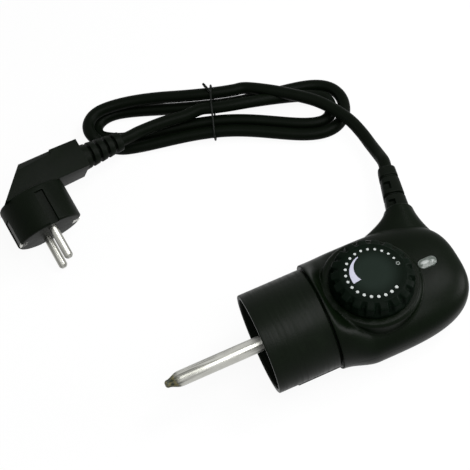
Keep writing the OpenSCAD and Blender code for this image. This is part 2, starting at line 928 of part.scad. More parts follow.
module mechanism_frame() color(steel)
    difference() {
        union() {
            translate([frame_x, -frame_half_y, frame_low])
                cube([frame_plate, 2 * frame_half_y, frame_high - frame_low]);
            translate([frame_x, base_y, base_z])
                cube([base_end_x - frame_x, base_y_end - base_y, frame_plate]);
        }
        x_cylinder(probe_rear_r, frame_x - over, frame_x + frame_plate + over);
        dial_frame()
            translate([0, 0, journal_end - over])
                cylinder(r = journal_r + running_gap, h = -journal_end + cam_top - cam_h + over);
        for (spot = post_spots)
            translate([spot[0], spot[1], base_z - over])
                cylinder(r = frame_screw_r, h = frame_plate + 2 * over);
    }

module frame_screws() color(steel)
    for (spot = post_spots)
        translate([spot[0], spot[1], base_z + frame_plate]) {
            cylinder(r = frame_head_r, h = frame_head_h);
            translate([0, 0, -frame_screw_len])
                cylinder(r = frame_screw_r, h = frame_screw_len);
        }

module contact_stack() color(ceramic)
    difference() {
        translate([stack_x, stack_y, base_z + frame_plate])
            cube([stack_end_x - stack_x, base_y_end - stack_y, stack_top - base_z - frame_plate]);
        for (x = [moving_x, set_x]) {
            translate([x, pivot_y, base_z])
                cylinder(r = bead_r + running_gap, h = stack_top - base_z + over);
            translate([x - slot_half, stack_y - over, base_z])
                cube([2 * slot_half, pivot_y - stack_y + over, stack_top - base_z + over]);
        }
    }

module leaf(x, end_y) {
    translate([x - blade / 2, end_y, -blade_half_h])
        cube([blade, pivot_y - end_y, 2 * blade_half_h]);
    translate([x, pivot_y, -blade_half_h])
        cylinder(r = bead_r, h = 2 * blade_half_h);
}

module set_blade() color(copper)
    leaf(set_x, set_end_y);

module moving_blade() color(copper)
    leaf(moving_x, moving_end_y);

module set_contact() color(bright)
    x_cylinder(contact_r, set_x - blade / 2 - contact_h, set_x - blade / 2, contact_y);

module moving_contact() color(bright)
    x_cylinder(contact_r, moving_x + blade / 2, moving_x + blade / 2 + contact_h, contact_y);

module cam_pin() color(ceramic)
    x_cylinder(cam_pin_r, set_x + blade / 2, cam_pin_end, 0, cam_pin_z);

// inner wires

module wire_line() color([0.45, 0.28, 0.18])
    tube(curve(line_route, 2), wire_r, wire_sides);

module wire_load() color([0.15, 0.15, 0.15])
    tube([[socket_end_x, wire_load_y, 0], [stack_x, stack_y + stack_wire_inset, 0]], wire_r, wire_sides);

module wire_neutral() color([0.20, 0.35, 0.65])
    tube(curve(neutral_route, 2), wire_r, wire_sides);

module wire_earth() color([0.45, 0.65, 0.20])
    tube(curve(earth_route, 2), wire_r, wire_sides, [0, 1, 0]);

// strain relief, clamp and cord

module clamp_place(side)
    translate(neck_end - clamp_back * neck_out)
        rotate([0, 0, -neck_yaw])
            translate([side * clamp_screw_x, 0, 0])
                children();

module clamp_posts()
    for (side = [-1, 1])
        clamp_place(side)
            translate([0, 0, -axis_height])
                cylinder(r = clamp_post_r, h = axis_height - clamp_half[2]);

module cord_clamp() color(dark)
    difference() {
        clamp_place(0) {
            translate([-clamp_block_half, -clamp_half[1], -clamp_half[2]])
                cube([2 * clamp_block_half, 2 * clamp_half[1], 2 * clamp_half[2]]);
            translate(-clamp_half)
                cube([2 * clamp_half[0], 2 * clamp_half[1], clamp_half[2] + clamp_ear_top]);
        }
        neck_frame()
            translate([0, 0, -tail_back - clamp_back])
                cylinder(r = cord_r, h = 2 * (tail_back + clamp_back));
        for (side = [-1, 1])
            clamp_place(side)
                cylinder(r = clamp_screw_r, h = 4 * clamp_half[2], center = true);
    }

module clamp_screws() color(steel)
    for (side = [-1, 1])
        clamp_place(side) {
            translate([0, 0, clamp_ear_top])
                cylinder(r = clamp_head_r, h = clamp_head_h);
            translate([0, 0, clamp_ear_top - clamp_screw_len])
                cylinder(r = clamp_screw_r, h = clamp_screw_len);
        }

module cord_boot() color(dark) {
    taper = (boot_r - boot_tip_r) / boot_len;
    neck_frame()
        difference() {
            union() {
                translate([0, 0, -boot_root - boot_flange])
                    cylinder(r = boot_flange_r, h = boot_flange);
                translate([0, 0, -boot_root])
                    cylinder(r = boot_r, h = boot_root);
                rotate_extrude()
                    polygon([[0, 0], [boot_r, 0], [boot_tip_r, boot_len], [0, boot_len]]);
            }
            translate([0, 0, -boot_root - boot_flange - over])
                cylinder(r = cord_r, h = boot_root + boot_flange + boot_len + 2 * over);
            for (share = boot_groove_shares)
                translate([0, 0, boot_len * share - boot_groove / 2])
                    difference() {
                        cylinder(r = 2 * boot_r, h = boot_groove);
                        translate([0, 0, -over])
                            cylinder(r = boot_groove_r, h = boot_groove + 2 * over);
                    }
            for (spot = window_shares)
                for (side = [-1, 1])
                    translate([side * (boot_r - taper * boot_len * spot[0]), 0,
                        boot_len * (spot[0] + spot[1]) / 2])
                        cube([2 * window, boot_r, boot_len * (spot[1] - spot[0])], center = true);
        }
}

module cord_tail() color(dark)
    neck_frame()
        translate([0, 0, -tail_back])
            cylinder(r = cord_r, h = tail_back + boot_len);

module cord_to_hank() color(dark)
    tube(to_hank_path, cord_r, free_sides);

module cord_hank() color(dark)
    tube(hank_path, cord_r, hank_sides);

module cord_to_plug() color(dark)
    tube(to_plug_path, cord_r, free_sides);

// twist tie: a loop round the four outer passes at the hank's waist, with two twisted ends

function pass_at(turn) =
    let (ahead = unit(hank_plan(turn + 1) - hank_plan(turn - 1)))
    [hank_plan(turn)[1] + hank_offset(turn) * ahead[0], hank_height(turn)];

module twist_tie() color(pale) {
    low_near = pass_at(270);
    high_near = pass_at(810);
    high_far = pass_at(90);
    low_far = pass_at(450);
    r = cord_r + tie_r + tie_gap - hank_lift / 4;
    near_way = high_near - low_near;
    far_way = low_far - high_far;
    lean = atan2(near_way[1], near_way[0]) + 90;
    fall = atan2(far_way[1], far_way[0]) + 90;
    loop = concat(
        [for (a = [270:-tie_step:lean]) low_near + r * [cos(a), sin(a)]],
        [for (a = [lean:-tie_step:90]) high_near + r * [cos(a), sin(a)]],
        [for (a = [90:-tie_step:fall]) high_far + r * [cos(a), sin(a)]],
        [for (a = [fall:-tie_step:-90]) low_far + r * [cos(a), sin(a)]],
        [[0, low_near[1] - r]]);
    ring = [for (p = loop) [0, p[0], p[1]]];
    top = [0, high_far[0] - cord_r, high_far[1] + r];
    translate([hank_x, hank_y, 0])
        rotate([0, 0, hank_turn]) {
            closed_tube(ring, tie_r, 6);
            for (start = [0, 180])
                tube([for (i = [0:3 * tie_end_turns + 3])
                    let (t = i / (3 * tie_end_turns + 3), a = start + 360 * tie_end_turns * t)
                    top + [-tie_end_len * t, tie_end_r * cos(a) + tie_end_len * t / 2,
                        tie_end_r * sin(a) + tie_r]], tie_r, 5);
        }
}

// ring of tube that closes on itself, in a plane square to X
module closed_tube(path, r, sides) {
    count = len(path);
    points = [for (i = [0:count - 1])
        let (
            along = unit(path[(i + 1) % count] - path[(i + count - 1) % count]),
            across = cross(along, [1, 0, 0])
        )
        for (k = [0:sides - 1])
            path[i] + r * (cos(360 * k / sides) * [1, 0, 0] + sin(360 * k / sides) * across)];
    faces = concat(
        [for (i = [0:count - 1]) for (k = [0:sides - 1])
            [i * sides + k, ((i + 1) % count) * sides + k, ((i + 1) % count) * sides + (k + 1) % sides]],
        [for (i = [0:count - 1]) for (k = [0:sides - 1])
            [i * sides + k, ((i + 1) % count) * sides + (k + 1) % sides, i * sides + (k + 1) % sides]]);
    polyhedron(points, faces, convexity = 4);
}

// plug

module plug_body() color(black)
    plug_frame()
        difference() {
            union() {
                rotate([-90, 0, 0])
                    rotate_extrude($fn = 96)
                        polygon([[0, 0], [plug_r - plug_edge, 0], [plug_r, plug_edge],
                            [plug_r, plug_depth - plug_edge], [plug_r - plug_edge, plug_depth],
                            [0, plug_depth]]);
                hull()
                    for (c = grip_corners)
                        translate([c[0], c[1], -c[2]])
                            cylinder(r = grip_round, h = 2 * c[2], $fn = 32);
            }
            for (side = [-1, 1]) {
                translate([-guide_half, -over, side > 0 ? plug_r - guide_depth : -plug_r - over])
                    cube([2 * guide_half, plug_depth - 2 * plug_edge, guide_depth + over]);
                translate([side > 0 ? plug_r - clip_recess : -plug_r - over, -over, -clip_recess_half])
                    cube([clip_recess + over, clip_depth + over, 2 * clip_recess_half]);
                translate([side > 0 ? plug_r - clip_face - over : -plug_r, -over, -clip_half])
                    cube([clip_face + over, clip_thick + over, 2 * clip_half]);
            }
        }

module plug_pins() color(bright)
    plug_frame()
        for (side = [-1, 1])
            translate([0, 0, side * pin_pitch / 2])
                rotate([90, 0, 0]) {
                    cylinder(r = pin_r, h = pin_len - pin_dome);
                    translate([0, 0, pin_len - pin_dome])
                        rotate_extrude()
                            polygon([[0, 0], [pin_r, 0],
                                [pin_r * pin_shoulder_share, pin_dome * pin_shoulder_rise_share],
                                [pin_r * pin_flat_share, pin_dome], [0, pin_dome]]);
                }

module plug_earth_clips() color(brass)
    plug_frame()
        for (side = [0, 180])
            rotate([0, side, 0])
                translate([plug_r, 0, 0]) {
                    translate([-clip_recess, 0, -clip_half])
                        cube([clip_thick, clip_depth, 2 * clip_half]);
                    translate([-clip_face, 0, -clip_half])
                        cube([clip_face - clip_recess, clip_thick, 2 * clip_half]);
                }

module plug_boot() color(dark)
    plug_frame()
        translate([plug_boot_x, plug_boot_y, 0])
            rotate([0, 90, 0])
                difference() {
                    cylinder(r1 = plug_boot_r, r2 = plug_boot_tip_r, h = plug_boot_len);
                    for (i = [1:plug_boot_rings])
                        translate([0, 0, plug_boot_len * i / (plug_boot_rings + 1) - plug_boot_groove / 2])
                            difference() {
                                cylinder(r = 2 * plug_boot_r, h = plug_boot_groove);
                                translate([0, 0, -over])
                                    cylinder(r = (plug_boot_r + cord_r) / 2 - i * plug_boot_groove / 4,
                                        h = plug_boot_groove + 2 * over);
                            }
                }

housing_upper();
housing_lower();
hood();
dial_knob();
dial_marks();
dial_spindle();
adjusting_cam();
spindle_clip();
lamp_lens();
neon_lamp();
lamp_resistor();
probe_tube();
probe_tip();
push_rod();
probe_flange();
terminal_block();
socket_sleeves();
line_socket();
neutral_socket();
earth_spring();
mechanism_frame();
contact_stack();
set_blade();
moving_blade();
set_contact();
moving_contact();
cam_pin();
wire_line();
wire_load();
wire_neutral();
wire_earth();
cord_clamp();
clamp_screws();
frame_screws();
housing_screws();
cord_boot();
cord_tail();
cord_to_hank();
cord_hank();
cord_to_plug();
twist_tie();
plug_body();
plug_boot();
plug_pins();
plug_earth_clips();
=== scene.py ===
import json
import math
import bmesh
import bpy
from mathutils import Matrix, Vector


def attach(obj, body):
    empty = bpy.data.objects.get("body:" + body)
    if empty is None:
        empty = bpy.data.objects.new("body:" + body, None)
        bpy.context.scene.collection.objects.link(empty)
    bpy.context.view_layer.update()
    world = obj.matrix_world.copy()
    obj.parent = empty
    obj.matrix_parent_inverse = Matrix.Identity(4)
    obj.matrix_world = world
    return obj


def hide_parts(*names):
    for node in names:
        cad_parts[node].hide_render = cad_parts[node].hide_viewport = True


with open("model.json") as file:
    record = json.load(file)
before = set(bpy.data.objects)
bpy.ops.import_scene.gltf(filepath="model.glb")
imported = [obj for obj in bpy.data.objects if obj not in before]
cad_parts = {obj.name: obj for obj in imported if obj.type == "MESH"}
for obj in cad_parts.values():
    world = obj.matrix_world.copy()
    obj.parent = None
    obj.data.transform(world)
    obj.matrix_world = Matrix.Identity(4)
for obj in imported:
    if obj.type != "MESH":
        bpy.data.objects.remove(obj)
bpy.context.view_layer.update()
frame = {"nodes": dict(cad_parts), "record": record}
nodes = frame["nodes"]
mm = 0.001
floorHeight = -27
lampX = 92.5


# places shared with the CAD, in millimetres: the dial leans, the neck points aside, the plug lies askew
def turned(x, y, z, *turns):
    place = Matrix.Translation(Vector((x, y, z)) * mm)
    for angle, axis in turns:
        place = place @ Matrix.Rotation(math.radians(angle), 4, axis)
    return place @ Matrix.Scale(mm, 4)


asDrawn = Matrix.Scale(mm, 4)
inMillimetres = Matrix.Scale(1 / mm, 4)
dialPlace = turned(63, 0, 22, (6, "Y"))
neckPlace = turned(97, 39, -4, (-15, "Z"), (-99, "X"))
plugPlace = turned(-74.5, 115.4, -8.5, (7, "Z"), (23, "X"), (14, "Y"))
alongX = Matrix.Rotation(math.radians(90), 4, "Y")


def smoothStep(start, end, value):
    t = min(max((value - start) / (end - start), 0), 1)
    return t * t * (3 - 2 * t)


# shader maths written as expressions on sockets
class Tap:
    def __init__(self, paint, socket):
        self.paint = paint
        self.socket = socket

    def maths(self, operation, *others):
        return self.paint.node("ShaderNodeMath", {"operation": operation}, [self, *others])

    def __add__(self, other):
        return self.maths("ADD", other)

    def __radd__(self, other):
        return self.maths("ADD", other)

    def __sub__(self, other):
        return self.maths("SUBTRACT", other)

    def __rsub__(self, other):
        return self.paint.node("ShaderNodeMath", {"operation": "SUBTRACT"}, [other, self])

    def __mul__(self, other):
        return self.maths("MULTIPLY", other)

    def __rmul__(self, other):
        return self.maths("MULTIPLY", other)

    def __pow__(self, other):
        return self.maths("POWER", other)

    def between(self, low, high):
        return self.paint.node("ShaderNodeMapRange", {"interpolation_type": "SMOOTHSTEP"}, [self, low, high, 0, 1])


class Paint:
    def __init__(self, name):
        self.material = bpy.data.materials.new(name)
        self.material.use_nodes = True
        self.tree = self.material.node_tree
        self.shader = self.tree.nodes["Principled BSDF"]
        self.end = self.tree.nodes["Material Output"]
        self.place = self.node("ShaderNodeTexCoord", {}, [], "Object")

    def node(self, kind, settings, values, output=0):
        made = self.tree.nodes.new(kind)
        for key, value in settings.items():
            if key == "stops":
                ramp = made.color_ramp.elements
                while len(ramp) < len(value):
                    ramp.new(0.5)
                for stop, (where, colour) in zip(ramp, value):
                    stop.position = where
                    stop.color = (*colour, 1)
            else:
                setattr(made, key, value)
        pairs = values.items() if isinstance(values, dict) else enumerate(values)
        for key, value in pairs:
            self.feed(made.inputs[key], value)
        return Tap(self, made.outputs[output])

    def feed(self, socket, value):
        if isinstance(value, Tap):
            self.tree.links.new(value.socket, socket)
        elif isinstance(value, (tuple, list)) and len(value) == 3 and socket.type == "RGBA":
            socket.default_value = (*value, 1)
        else:
            socket.default_value = value

    def spread(self, scale=(1, 1, 1), shift=(0, 0, 0)):
        return self.node("ShaderNodeMapping", {}, {"Vector": self.place, "Scale": scale, "Location": shift})

    def noise(self, scale, detail=3, rough=0.55, place=None):
        values = {"Vector": place or self.place, "Scale": scale, "Detail": detail, "Roughness": rough}
        return self.node("ShaderNodeTexNoise", {}, values)

    def mix(self, factor, first, second):
        made = self.tree.nodes.new("ShaderNodeMix")
        made.data_type = "RGBA"
        self.feed(made.inputs[0], factor)
        self.feed(made.inputs[6], first)
        self.feed(made.inputs[7], second)
        return Tap(self, made.outputs[2])

    def bump(self, height, distance, strength=1.0, below=None):
        values = {"Height": height, "Distance": distance, "Strength": strength}
        if below:
            values["Normal"] = below
        return self.node("ShaderNodeBump", {}, values)

    def axes(self, place=None):
        return [self.node("ShaderNodeSeparateXYZ", {}, [place or self.place], i) for i in range(3)]

    def set(self, **values):
        for key, value in values.items():
            self.feed(self.shader.inputs[key.replace("_", " ")], value)
        return self.material


# moulded dark plastic: faint cloudy colour, fine grain and a few rubbed patches
def mouldedPlastic(name, tone, rough, grain=0.00003, streaks=False, gloss=0.3, topToneAndHighlight=None):
    p = Paint(name)
    clouds = p.noise(55, 4)
    speck = p.noise(1900, 2)
    worn = p.noise(140, 5, 0.7).between(0.55, 0.75)
    deep = tuple(c * 0.75 for c in tone)
    pale = tuple(c * 1.5 for c in tone)
    colour = p.mix(clouds.between(0.35, 0.7), deep, tone)
    colour = p.mix(worn * 0.35, colour, pale)
    if topToneAndHighlight:
        # paler disc in the middle of the knob's top, fading outwards: partly the top's own paler tone, partly a painted
        # highlight for the light the top catches
        middle, radius, tint = topToneAndHighlight
        x, y = p.axes(p.spread(shift=(-middle, 0, 0)))[:2]
        outwards = ((x ** 2 + y ** 2) ** 0.5).between(radius * 0.4, radius)
        colour = p.mix(outwards, tint, colour)
    normal = p.bump(speck, grain)
    shine = rough + (clouds - 0.5) * 0.16 + worn * 0.06
    if streaks:
        # turning marks run round the X axis
        rings = p.noise(700, 3, 0.6, p.spread((1, 0.05, 0.05)))
        normal = p.bump(rings, 0.00016, 0.7, normal)
        shine = shine + (rings - 0.5) * 0.4
    p.shader.inputs["Specular IOR Level"].default_value = gloss
    return p.set(Base_Color=colour, Roughness=shine, Normal=normal)


def printedInk(name, tone):
    p = Paint(name)
    speck = p.noise(1500, 3)
    faded = p.noise(220, 3).between(0.35, 0.8)
    colour = p.mix(faded * 0.4, tone, tuple(c * 0.7 for c in tone))
    return p.set(Base_Color=colour, Roughness=0.5 + (speck - 0.5) * 0.2, Normal=p.bump(speck, 0.00002))


# bright plated metal with fine drawn lines; it can be streaked, darkened along a direction with painted shade, or
# stained up to a place on X
stains = {"streak": (0.13, 0.13, 0.115), "soot": (0.012, 0.016, 0.007), "straw": (0.09, 0.078, 0.022)}


def platedMetal(name, tone, rough, stainFrom=None, streaks=0, paintedShadeAlong=None, lie=(0, 0, 0)):
    p = Paint(name)
    along = p.node("ShaderNodeMapping", {"vector_type": "TEXTURE"},
                   {"Vector": p.place, "Scale": (25, 1, 1), "Rotation": lie})
    drawn = p.noise(1300, 3, 0.6, along)
    smear = p.noise(160, 4)
    colour = p.mix(smear.between(0.4, 0.75) * 0.5, tone, tuple(c * 0.72 for c in tone))
    if streaks:
        lines = p.noise(480, 2, 0.5, along).between(0.48, 0.62)
        colour = p.mix(lines * streaks, colour, stains["streak"])
    shine = rough + (drawn - 0.5) * 0.16 + (smear - 0.5) * 0.12
    metal = 1.0
    if paintedShadeAlong:
        # bright at the front end; behind it the strip is painted near-black, rougher and less metallic, as painted
        # shade where it lies in its recess
        direction, near, far = paintedShadeAlong
        depth = p.node("ShaderNodeVectorMath", {"operation": "DOT_PRODUCT"}, [p.place, direction], "Value")
        paintedShade = depth.between(near, far)
        colour = p.mix(paintedShade, colour, tuple(c * 0.05 for c in tone))
        shine = shine + paintedShade * 0.4
        metal = 1 - paintedShade * 0.9
    if stainFrom:
        x = p.axes()[0]
        wobble = (p.noise(420, 3) - 0.5) * 0.005
        stained = 1 - (x + wobble).between(*stainFrom)
        patch = p.noise(600, 3).between(0.45, 0.62)
        colour = p.mix(stained * 0.9, colour, p.mix(patch, stains["soot"], stains["straw"]))
        shine = shine + stained * 0.18
    return p.set(Base_Color=colour, Metallic=metal, Roughness=shine, Normal=p.bump(drawn, 0.00001))


def softSheath(name, tone, rough, gloss=0.4):
    p = Paint(name)
    matt = p.noise(300, 4)
    dust = p.noise(70, 4, 0.7).between(0.5, 0.8)
    colour = p.mix(dust * 0.4, tone, tuple(c * 1.8 for c in tone))
    normal = p.bump(p.noise(1400, 2), 0.00003)
    normal = p.bump(p.noise(120, 2), 0.00025, 0.4, normal)
    p.shader.inputs["Specular IOR Level"].default_value = gloss
    return p.set(Base_Color=colour, Roughness=rough + (matt - 0.5) * 0.2, Normal=normal)


def firedClay(name, tone):
    p = Paint(name)
    pits = p.noise(800, 4)
    colour = p.mix(p.noise(90, 3).between(0.3, 0.7), tone, tuple(c * 0.85 for c in tone))
    return p.set(Base_Color=colour, Roughness=0.7 + (pits - 0.5) * 0.2, Normal=p.bump(pits, 0.00006))


# grey lens: a darker band inside its rim, cloudy in the middle, with a pale oval painted on it as a highlight
lensLook = {"across": (204, 370), "bandIn": (0.45, 0.62), "bandOut": (0.78, 0.92), "band": (0.05, 0.06, 0.05),
            "cloud": ((0.05, 0.065, 0.055), (0.12, 0.135, 0.125)), "highlightAt": (-0.0012, 0.0002),
            # the colour under "lamp" is a painted highlight: a pale oval a little off the lens's middle
            "highlightAcross": (420, 1000), "highlightEdge": (0.2, 1.3), "lamp": (0.30, 0.32, 0.31)}


def lampLensPaint(name):
    p = Paint(name)
    x, y = p.axes(p.spread(shift=(-lampX * mm, 0, 0)))[:2]

    def ovalAround(spot, across):
        return ((x - spot[0]) * across[0]) ** 2 + ((y - spot[1]) * across[1]) ** 2

    away = ovalAround((0, 0), lensLook["across"])
    # painted highlight: a pale oval off the lens's middle, in the colour kept under "lamp"
    pale = 1 - ovalAround(lensLook["highlightAt"], lensLook["highlightAcross"]).between(*lensLook["highlightEdge"])
    cloud = p.noise(420, 3).between(0.35, 0.7)
    band = away.between(*lensLook["bandIn"]) * (1 - away.between(*lensLook["bandOut"]))
    colour = p.mix(cloud, *lensLook["cloud"])
    colour = p.mix(band * 0.8, colour, lensLook["band"])
    colour = p.mix(pale, colour, lensLook["lamp"])
    return p.set(Base_Color=colour, Roughness=0.2 + cloud * 0.1, Normal=p.bump(p.noise(900, 2), 0.00003))


print("materials")
paints = {
    "body": mouldedPlastic("bodyPlastic", (0.0012, 0.0030, 0.0009), 0.35, gloss=0.045),
    "hood": mouldedPlastic("hoodPlastic", (0.0022, 0.0042, 0.0018), 0.38, streaks=True, gloss=0.06),
    # the dial's top gets a paler disc, partly its own tone and partly a painted highlight
    "dial": mouldedPlastic("dialPlastic", (0.0014, 0.0036, 0.0018), 0.42, gloss=0.02,
                           topToneAndHighlight=(dialPlace.translation.x, 0.0155, (0.0085, 0.0135, 0.0105))),
    "plug": mouldedPlastic("plugRubber", (0.0011, 0.0026, 0.0008), 0.46, 0.00005, gloss=0.042),
    "marks": printedInk("scaleInk", (0.34, 0.36, 0.35)),
    "wedge": printedInk("wedgeInk", (0.34, 0.34, 0.42)),
    "faint": printedInk("faintInk", (0.085, 0.10, 0.09)),
    "lens": lampLensPaint("lensClear"),
    "nickel": platedMetal("brightNickel", (0.50, 0.50, 0.46), 0.26),
    "probe": platedMetal("probeNickel", (0.49, 0.49, 0.455), 0.3, (-0.0446, -0.0412), 0.85),
    "steel": platedMetal("zincSteel", (0.55, 0.55, 0.54), 0.35),
    "brass": platedMetal("contactBrass", (0.72, 0.52, 0.22), 0.3),
    "copper": platedMetal("springBronze", (0.66, 0.38, 0.22), 0.32),
    "sheath": softSheath("cordSheath", (0.0013, 0.0024, 0.0011), 0.42, 0.028),
    "boot": softSheath("bootRubber", (0.0018, 0.0030, 0.0016), 0.45, 0.038),
    "tie": softSheath("tieCoating", (0.003, 0.004, 0.003), 0.4, 0.08),
    "insulator": firedClay("firedInsulator", (0.70, 0.67, 0.58)),
    "brown": softSheath("brownWire", (0.11, 0.045, 0.02), 0.4),
    "blue": softSheath("blueWire", (0.02, 0.08, 0.32), 0.4),
    "green_yellow": softSheath("earthWire", (0.25, 0.42, 0.03), 0.4),
    "black_wire": softSheath("blackWire", (0.02, 0.02, 0.02), 0.4),
    "neon": printedInk("neonGlow", (0.75, 0.35, 0.16)),
}

# other slots have a paint of their own name
slotPaints = {"stained": "probe", "rubber": "sheath"}
for part in frame["record"]["subparts"]:
    holder = nodes[part["node"]]
    holder.data.materials.clear()
    holder.data.materials.append(paints[slotPaints.get(part["material_slot"], part["material_slot"])])


# making pieces
def finishPiece(name, bm, place, paint, body, replaced=(), smooth=40, recalc=True):
    bmesh.ops.transform(bm, matrix=place, verts=bm.verts)
    if recalc:
        bmesh.ops.recalc_face_normals(bm, faces=bm.faces)
    mesh = bpy.data.meshes.new(name)
    bm.to_mesh(mesh)
    bm.free()
    piece = bpy.data.objects.new(name, mesh)
    bpy.context.scene.collection.objects.link(piece)
    mesh.materials.append(paints[paint])
    mesh.shade_smooth()
    mesh.set_sharp_from_angle(angle=math.radians(smooth))
    register(piece, body, replaced)
    return piece


def register(piece, body, replaced):
    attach(piece, body)
    if replaced:
        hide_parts(*replaced)


# closed turned shape: the profile holds (radius, height) pairs, spun about Z
def spun(profile, steps):
    bm = bmesh.new()
    corners = [bm.verts.new((r, 0, z)) for r, z in profile]
    count = len(corners)
    closed = profile[0][0] > 1e-6 or profile[-1][0] > 1e-6
    edges = [bm.edges.new((corners[i], corners[i + 1])) for i in range(count - 1)]
    if closed:
        edges.append(bm.edges.new((corners[-1], corners[0])))
    bmesh.ops.spin(bm, geom=corners + edges, cent=(0, 0, 0), axis=(0, 0, 1), angle=2 * math.pi,
                   steps=steps, use_merge=True)
    bmesh.ops.remove_doubles(bm, verts=bm.verts, dist=1e-5)
    return bm


# an arc at a corner of a profile, from one direction to the other
def rounded(x, z, radius, start, end, steps=5):
    out = []
    for i in range(steps + 1):
        a = math.radians(start + (end - start) * i / steps)
        out.append((x + radius * math.cos(a), z + radius * math.sin(a)))
    return out


def bevelAll(bm, width, segments=3, limit=35):
    sharp = [e for e in bm.edges if len(e.link_faces) == 2 and e.calc_face_angle(0) > math.radians(limit)]
    bmesh.ops.bevel(bm, geom=sharp, offset=width, offset_type="OFFSET", segments=segments,
                    affect="EDGES", profile=0.5, material=-1, clamp_overlap=True)


# ring by ring skin: each new ring is pushed out of the last one and moved to its outline
def lofted(rings):
    bm = bmesh.new()
    tag = bm.verts.layers.int.new("slot")
    first = bmesh.ops.create_circle(bm, cap_ends=True, segments=len(rings[0]), radius=1)["verts"]
    for i, vert in enumerate(first):
        vert[tag] = i
        vert.co = rings[0][i]
    edges = bm.edges[:]
    for ring in rings[1:]:
        made = bmesh.ops.extrude_edge_only(bm, edges=edges)["geom"]
        for item in made:
            if isinstance(item, bmesh.types.BMVert):
                item.co = ring[item[tag]]
        fresh = {item for item in made if isinstance(item, bmesh.types.BMVert)}
        edges = [item for item in made if isinstance(item, bmesh.types.BMEdge)
                 and item.verts[0] in fresh and item.verts[1] in fresh]
    bmesh.ops.holes_fill(bm, edges=edges, sides=0)
    return bm


def joined(first, *others):
    for other in others:
        spare = bpy.data.meshes.new("spare")
        other.to_mesh(spare)
        other.free()
        first.from_mesh(spare)
        bpy.data.meshes.remove(spare)
    return first


# applies modifiers to a bmesh and hands the result back as a bmesh
def worked(bm, *steps):
    mesh = bpy.data.meshes.new("work")
    bm.to_mesh(mesh)
    bm.free()
    holder = bpy.data.objects.new("work", mesh)
    bpy.context.scene.collection.objects.link(holder)
    for kind, settings in steps:
        step = holder.modifiers.new(kind, kind)
        for key, value in settings.items():
            setattr(step, key, value)
    depsgraph = bpy.context.evaluated_depsgraph_get()
    result = bpy.data.meshes.new_from_object(holder.evaluated_get(depsgraph))
    out = bmesh.new()
    out.from_mesh(result)
    bpy.data.objects.remove(holder)
    bpy.data.meshes.remove(mesh)
    bpy.data.meshes.remove(result)
    return out


# takes one closed shape out of another
def cutOut(bm, tool, solver="EXACT"):
    bmesh.ops.recalc_face_normals(tool, faces=tool.faces)
    mesh = bpy.data.meshes.new("cutter")
    tool.to_mesh(mesh)
    tool.free()
    cutter = bpy.data.objects.new("cutter", mesh)
    bpy.context.scene.collection.objects.link(cutter)
    bm = worked(bm, ("BOOLEAN", {"object": cutter, "operation": "DIFFERENCE", "solver": solver}))
    bpy.data.objects.remove(cutter)
    bpy.data.meshes.remove(mesh)
    return bm


# pulls a flat shape up and hands its new corners back
def pulledUp(bm):
    made = bmesh.ops.extrude_face_region(bm, geom=bm.faces[:])["geom"]
    return [v for v in made if isinstance(v, bmesh.types.BMVert)]


def blockAt(bm, place, size):
    bmesh.ops.create_cube(bm, size=1, matrix=place @ Matrix.Diagonal((*size, 1)))


# camera, as fitted to the picture
view = {"spot": (-48.9, -232.3, 489.2), "ahead": (0.1099, 0.5137, -0.8509),
        "up": (0.3884, 0.7658, 0.5125), "lens": 84.26, "sensor": 36}
lens = bpy.data.cameras.new("camera")
lens.lens = view["lens"]
lens.sensor_width = view["sensor"]
lens.sensor_fit = "HORIZONTAL"
lens.clip_start = 0.01
cameraHolder = bpy.data.objects.new("camera", lens)
ahead = Vector(view["ahead"]).normalized()
up = Vector(view["up"])
up = (up - up.dot(ahead) * ahead).normalized()
across = ahead.cross(up)
turn = Matrix((across, up, -ahead)).transposed().to_4x4()
cameraHolder.matrix_world = Matrix.Translation(Vector(view["spot"]) * mm) @ turn
bpy.context.scene.collection.objects.link(cameraHolder)
bpy.context.scene.camera = cameraHolder

# cord: a free stretch, a hank of two long loops, and a stretch to the plug
# angles of the hank are counted along its turns, and its stages are (start, end) of a soft change
cord = {"radius": 3.5, "bore": 3.52, "bootLength": 30.6, "plugBootEnd": (62, 31, 0), "steps": 8}
hank = {"middle": (37, 154.8), "turn": -20, "start": 80, "end": 810, "step": 2.5, "waist": 9.75, "bulge": (30, 18.5),
        "reach": (76, 73.5), "pitch": 7.7, "layer": 7.6, "lift": 2, "liftPower": 8, "spread": 3,
        "spreadEnds": (110, 150), "comesDown": (190, 225), "stepsOut": (500, 575), "goesUp": (755, 800)}
toHankRoute = [(107.2, 81.5, -12.5), (107.3, 92, -15.5), (106.6, 102.5, -16), (104.5, 113, -15.8),
               (99.5, 124.8, -15.6), (92.8, 134.8, -15.3), (82.8, 144.2, -14.6), (72, 153, -14)]
toPlugRoute = [(21.7, 159.2, -14.4), (7.7, 160.4, -13.8), (-6, 159.8, -12.8)]


def hankPlan(angle):
    c, s = math.cos(math.radians(angle)), math.sin(math.radians(angle))
    side = 0 if c > 0 else 1
    spread = hank["spread"] * (1 - smoothStep(*hank["spreadEnds"], angle))
    return Vector((hank["reach"][side] * c, s * (hank["waist"] + hank["bulge"][side] * c * c) + spread))


# later turns lie beside the earlier ones
def hankFlat(angle):
    ahead = (hankPlan(angle + 1) - hankPlan(angle - 1)).normalized()
    return hankPlan(angle) + hank["pitch"] * smoothStep(*hank["stepsOut"], angle) * Vector((-ahead.y, ahead.x))


def hankHeight(angle):
    layers = 1 - smoothStep(*hank["comesDown"], angle) + smoothStep(*hank["goesUp"], angle)
    lift = hank["lift"] * abs(math.sin(math.radians(angle))) ** hank["liftPower"]
    return floorHeight + cord["radius"] + hank["layer"] * layers + lift


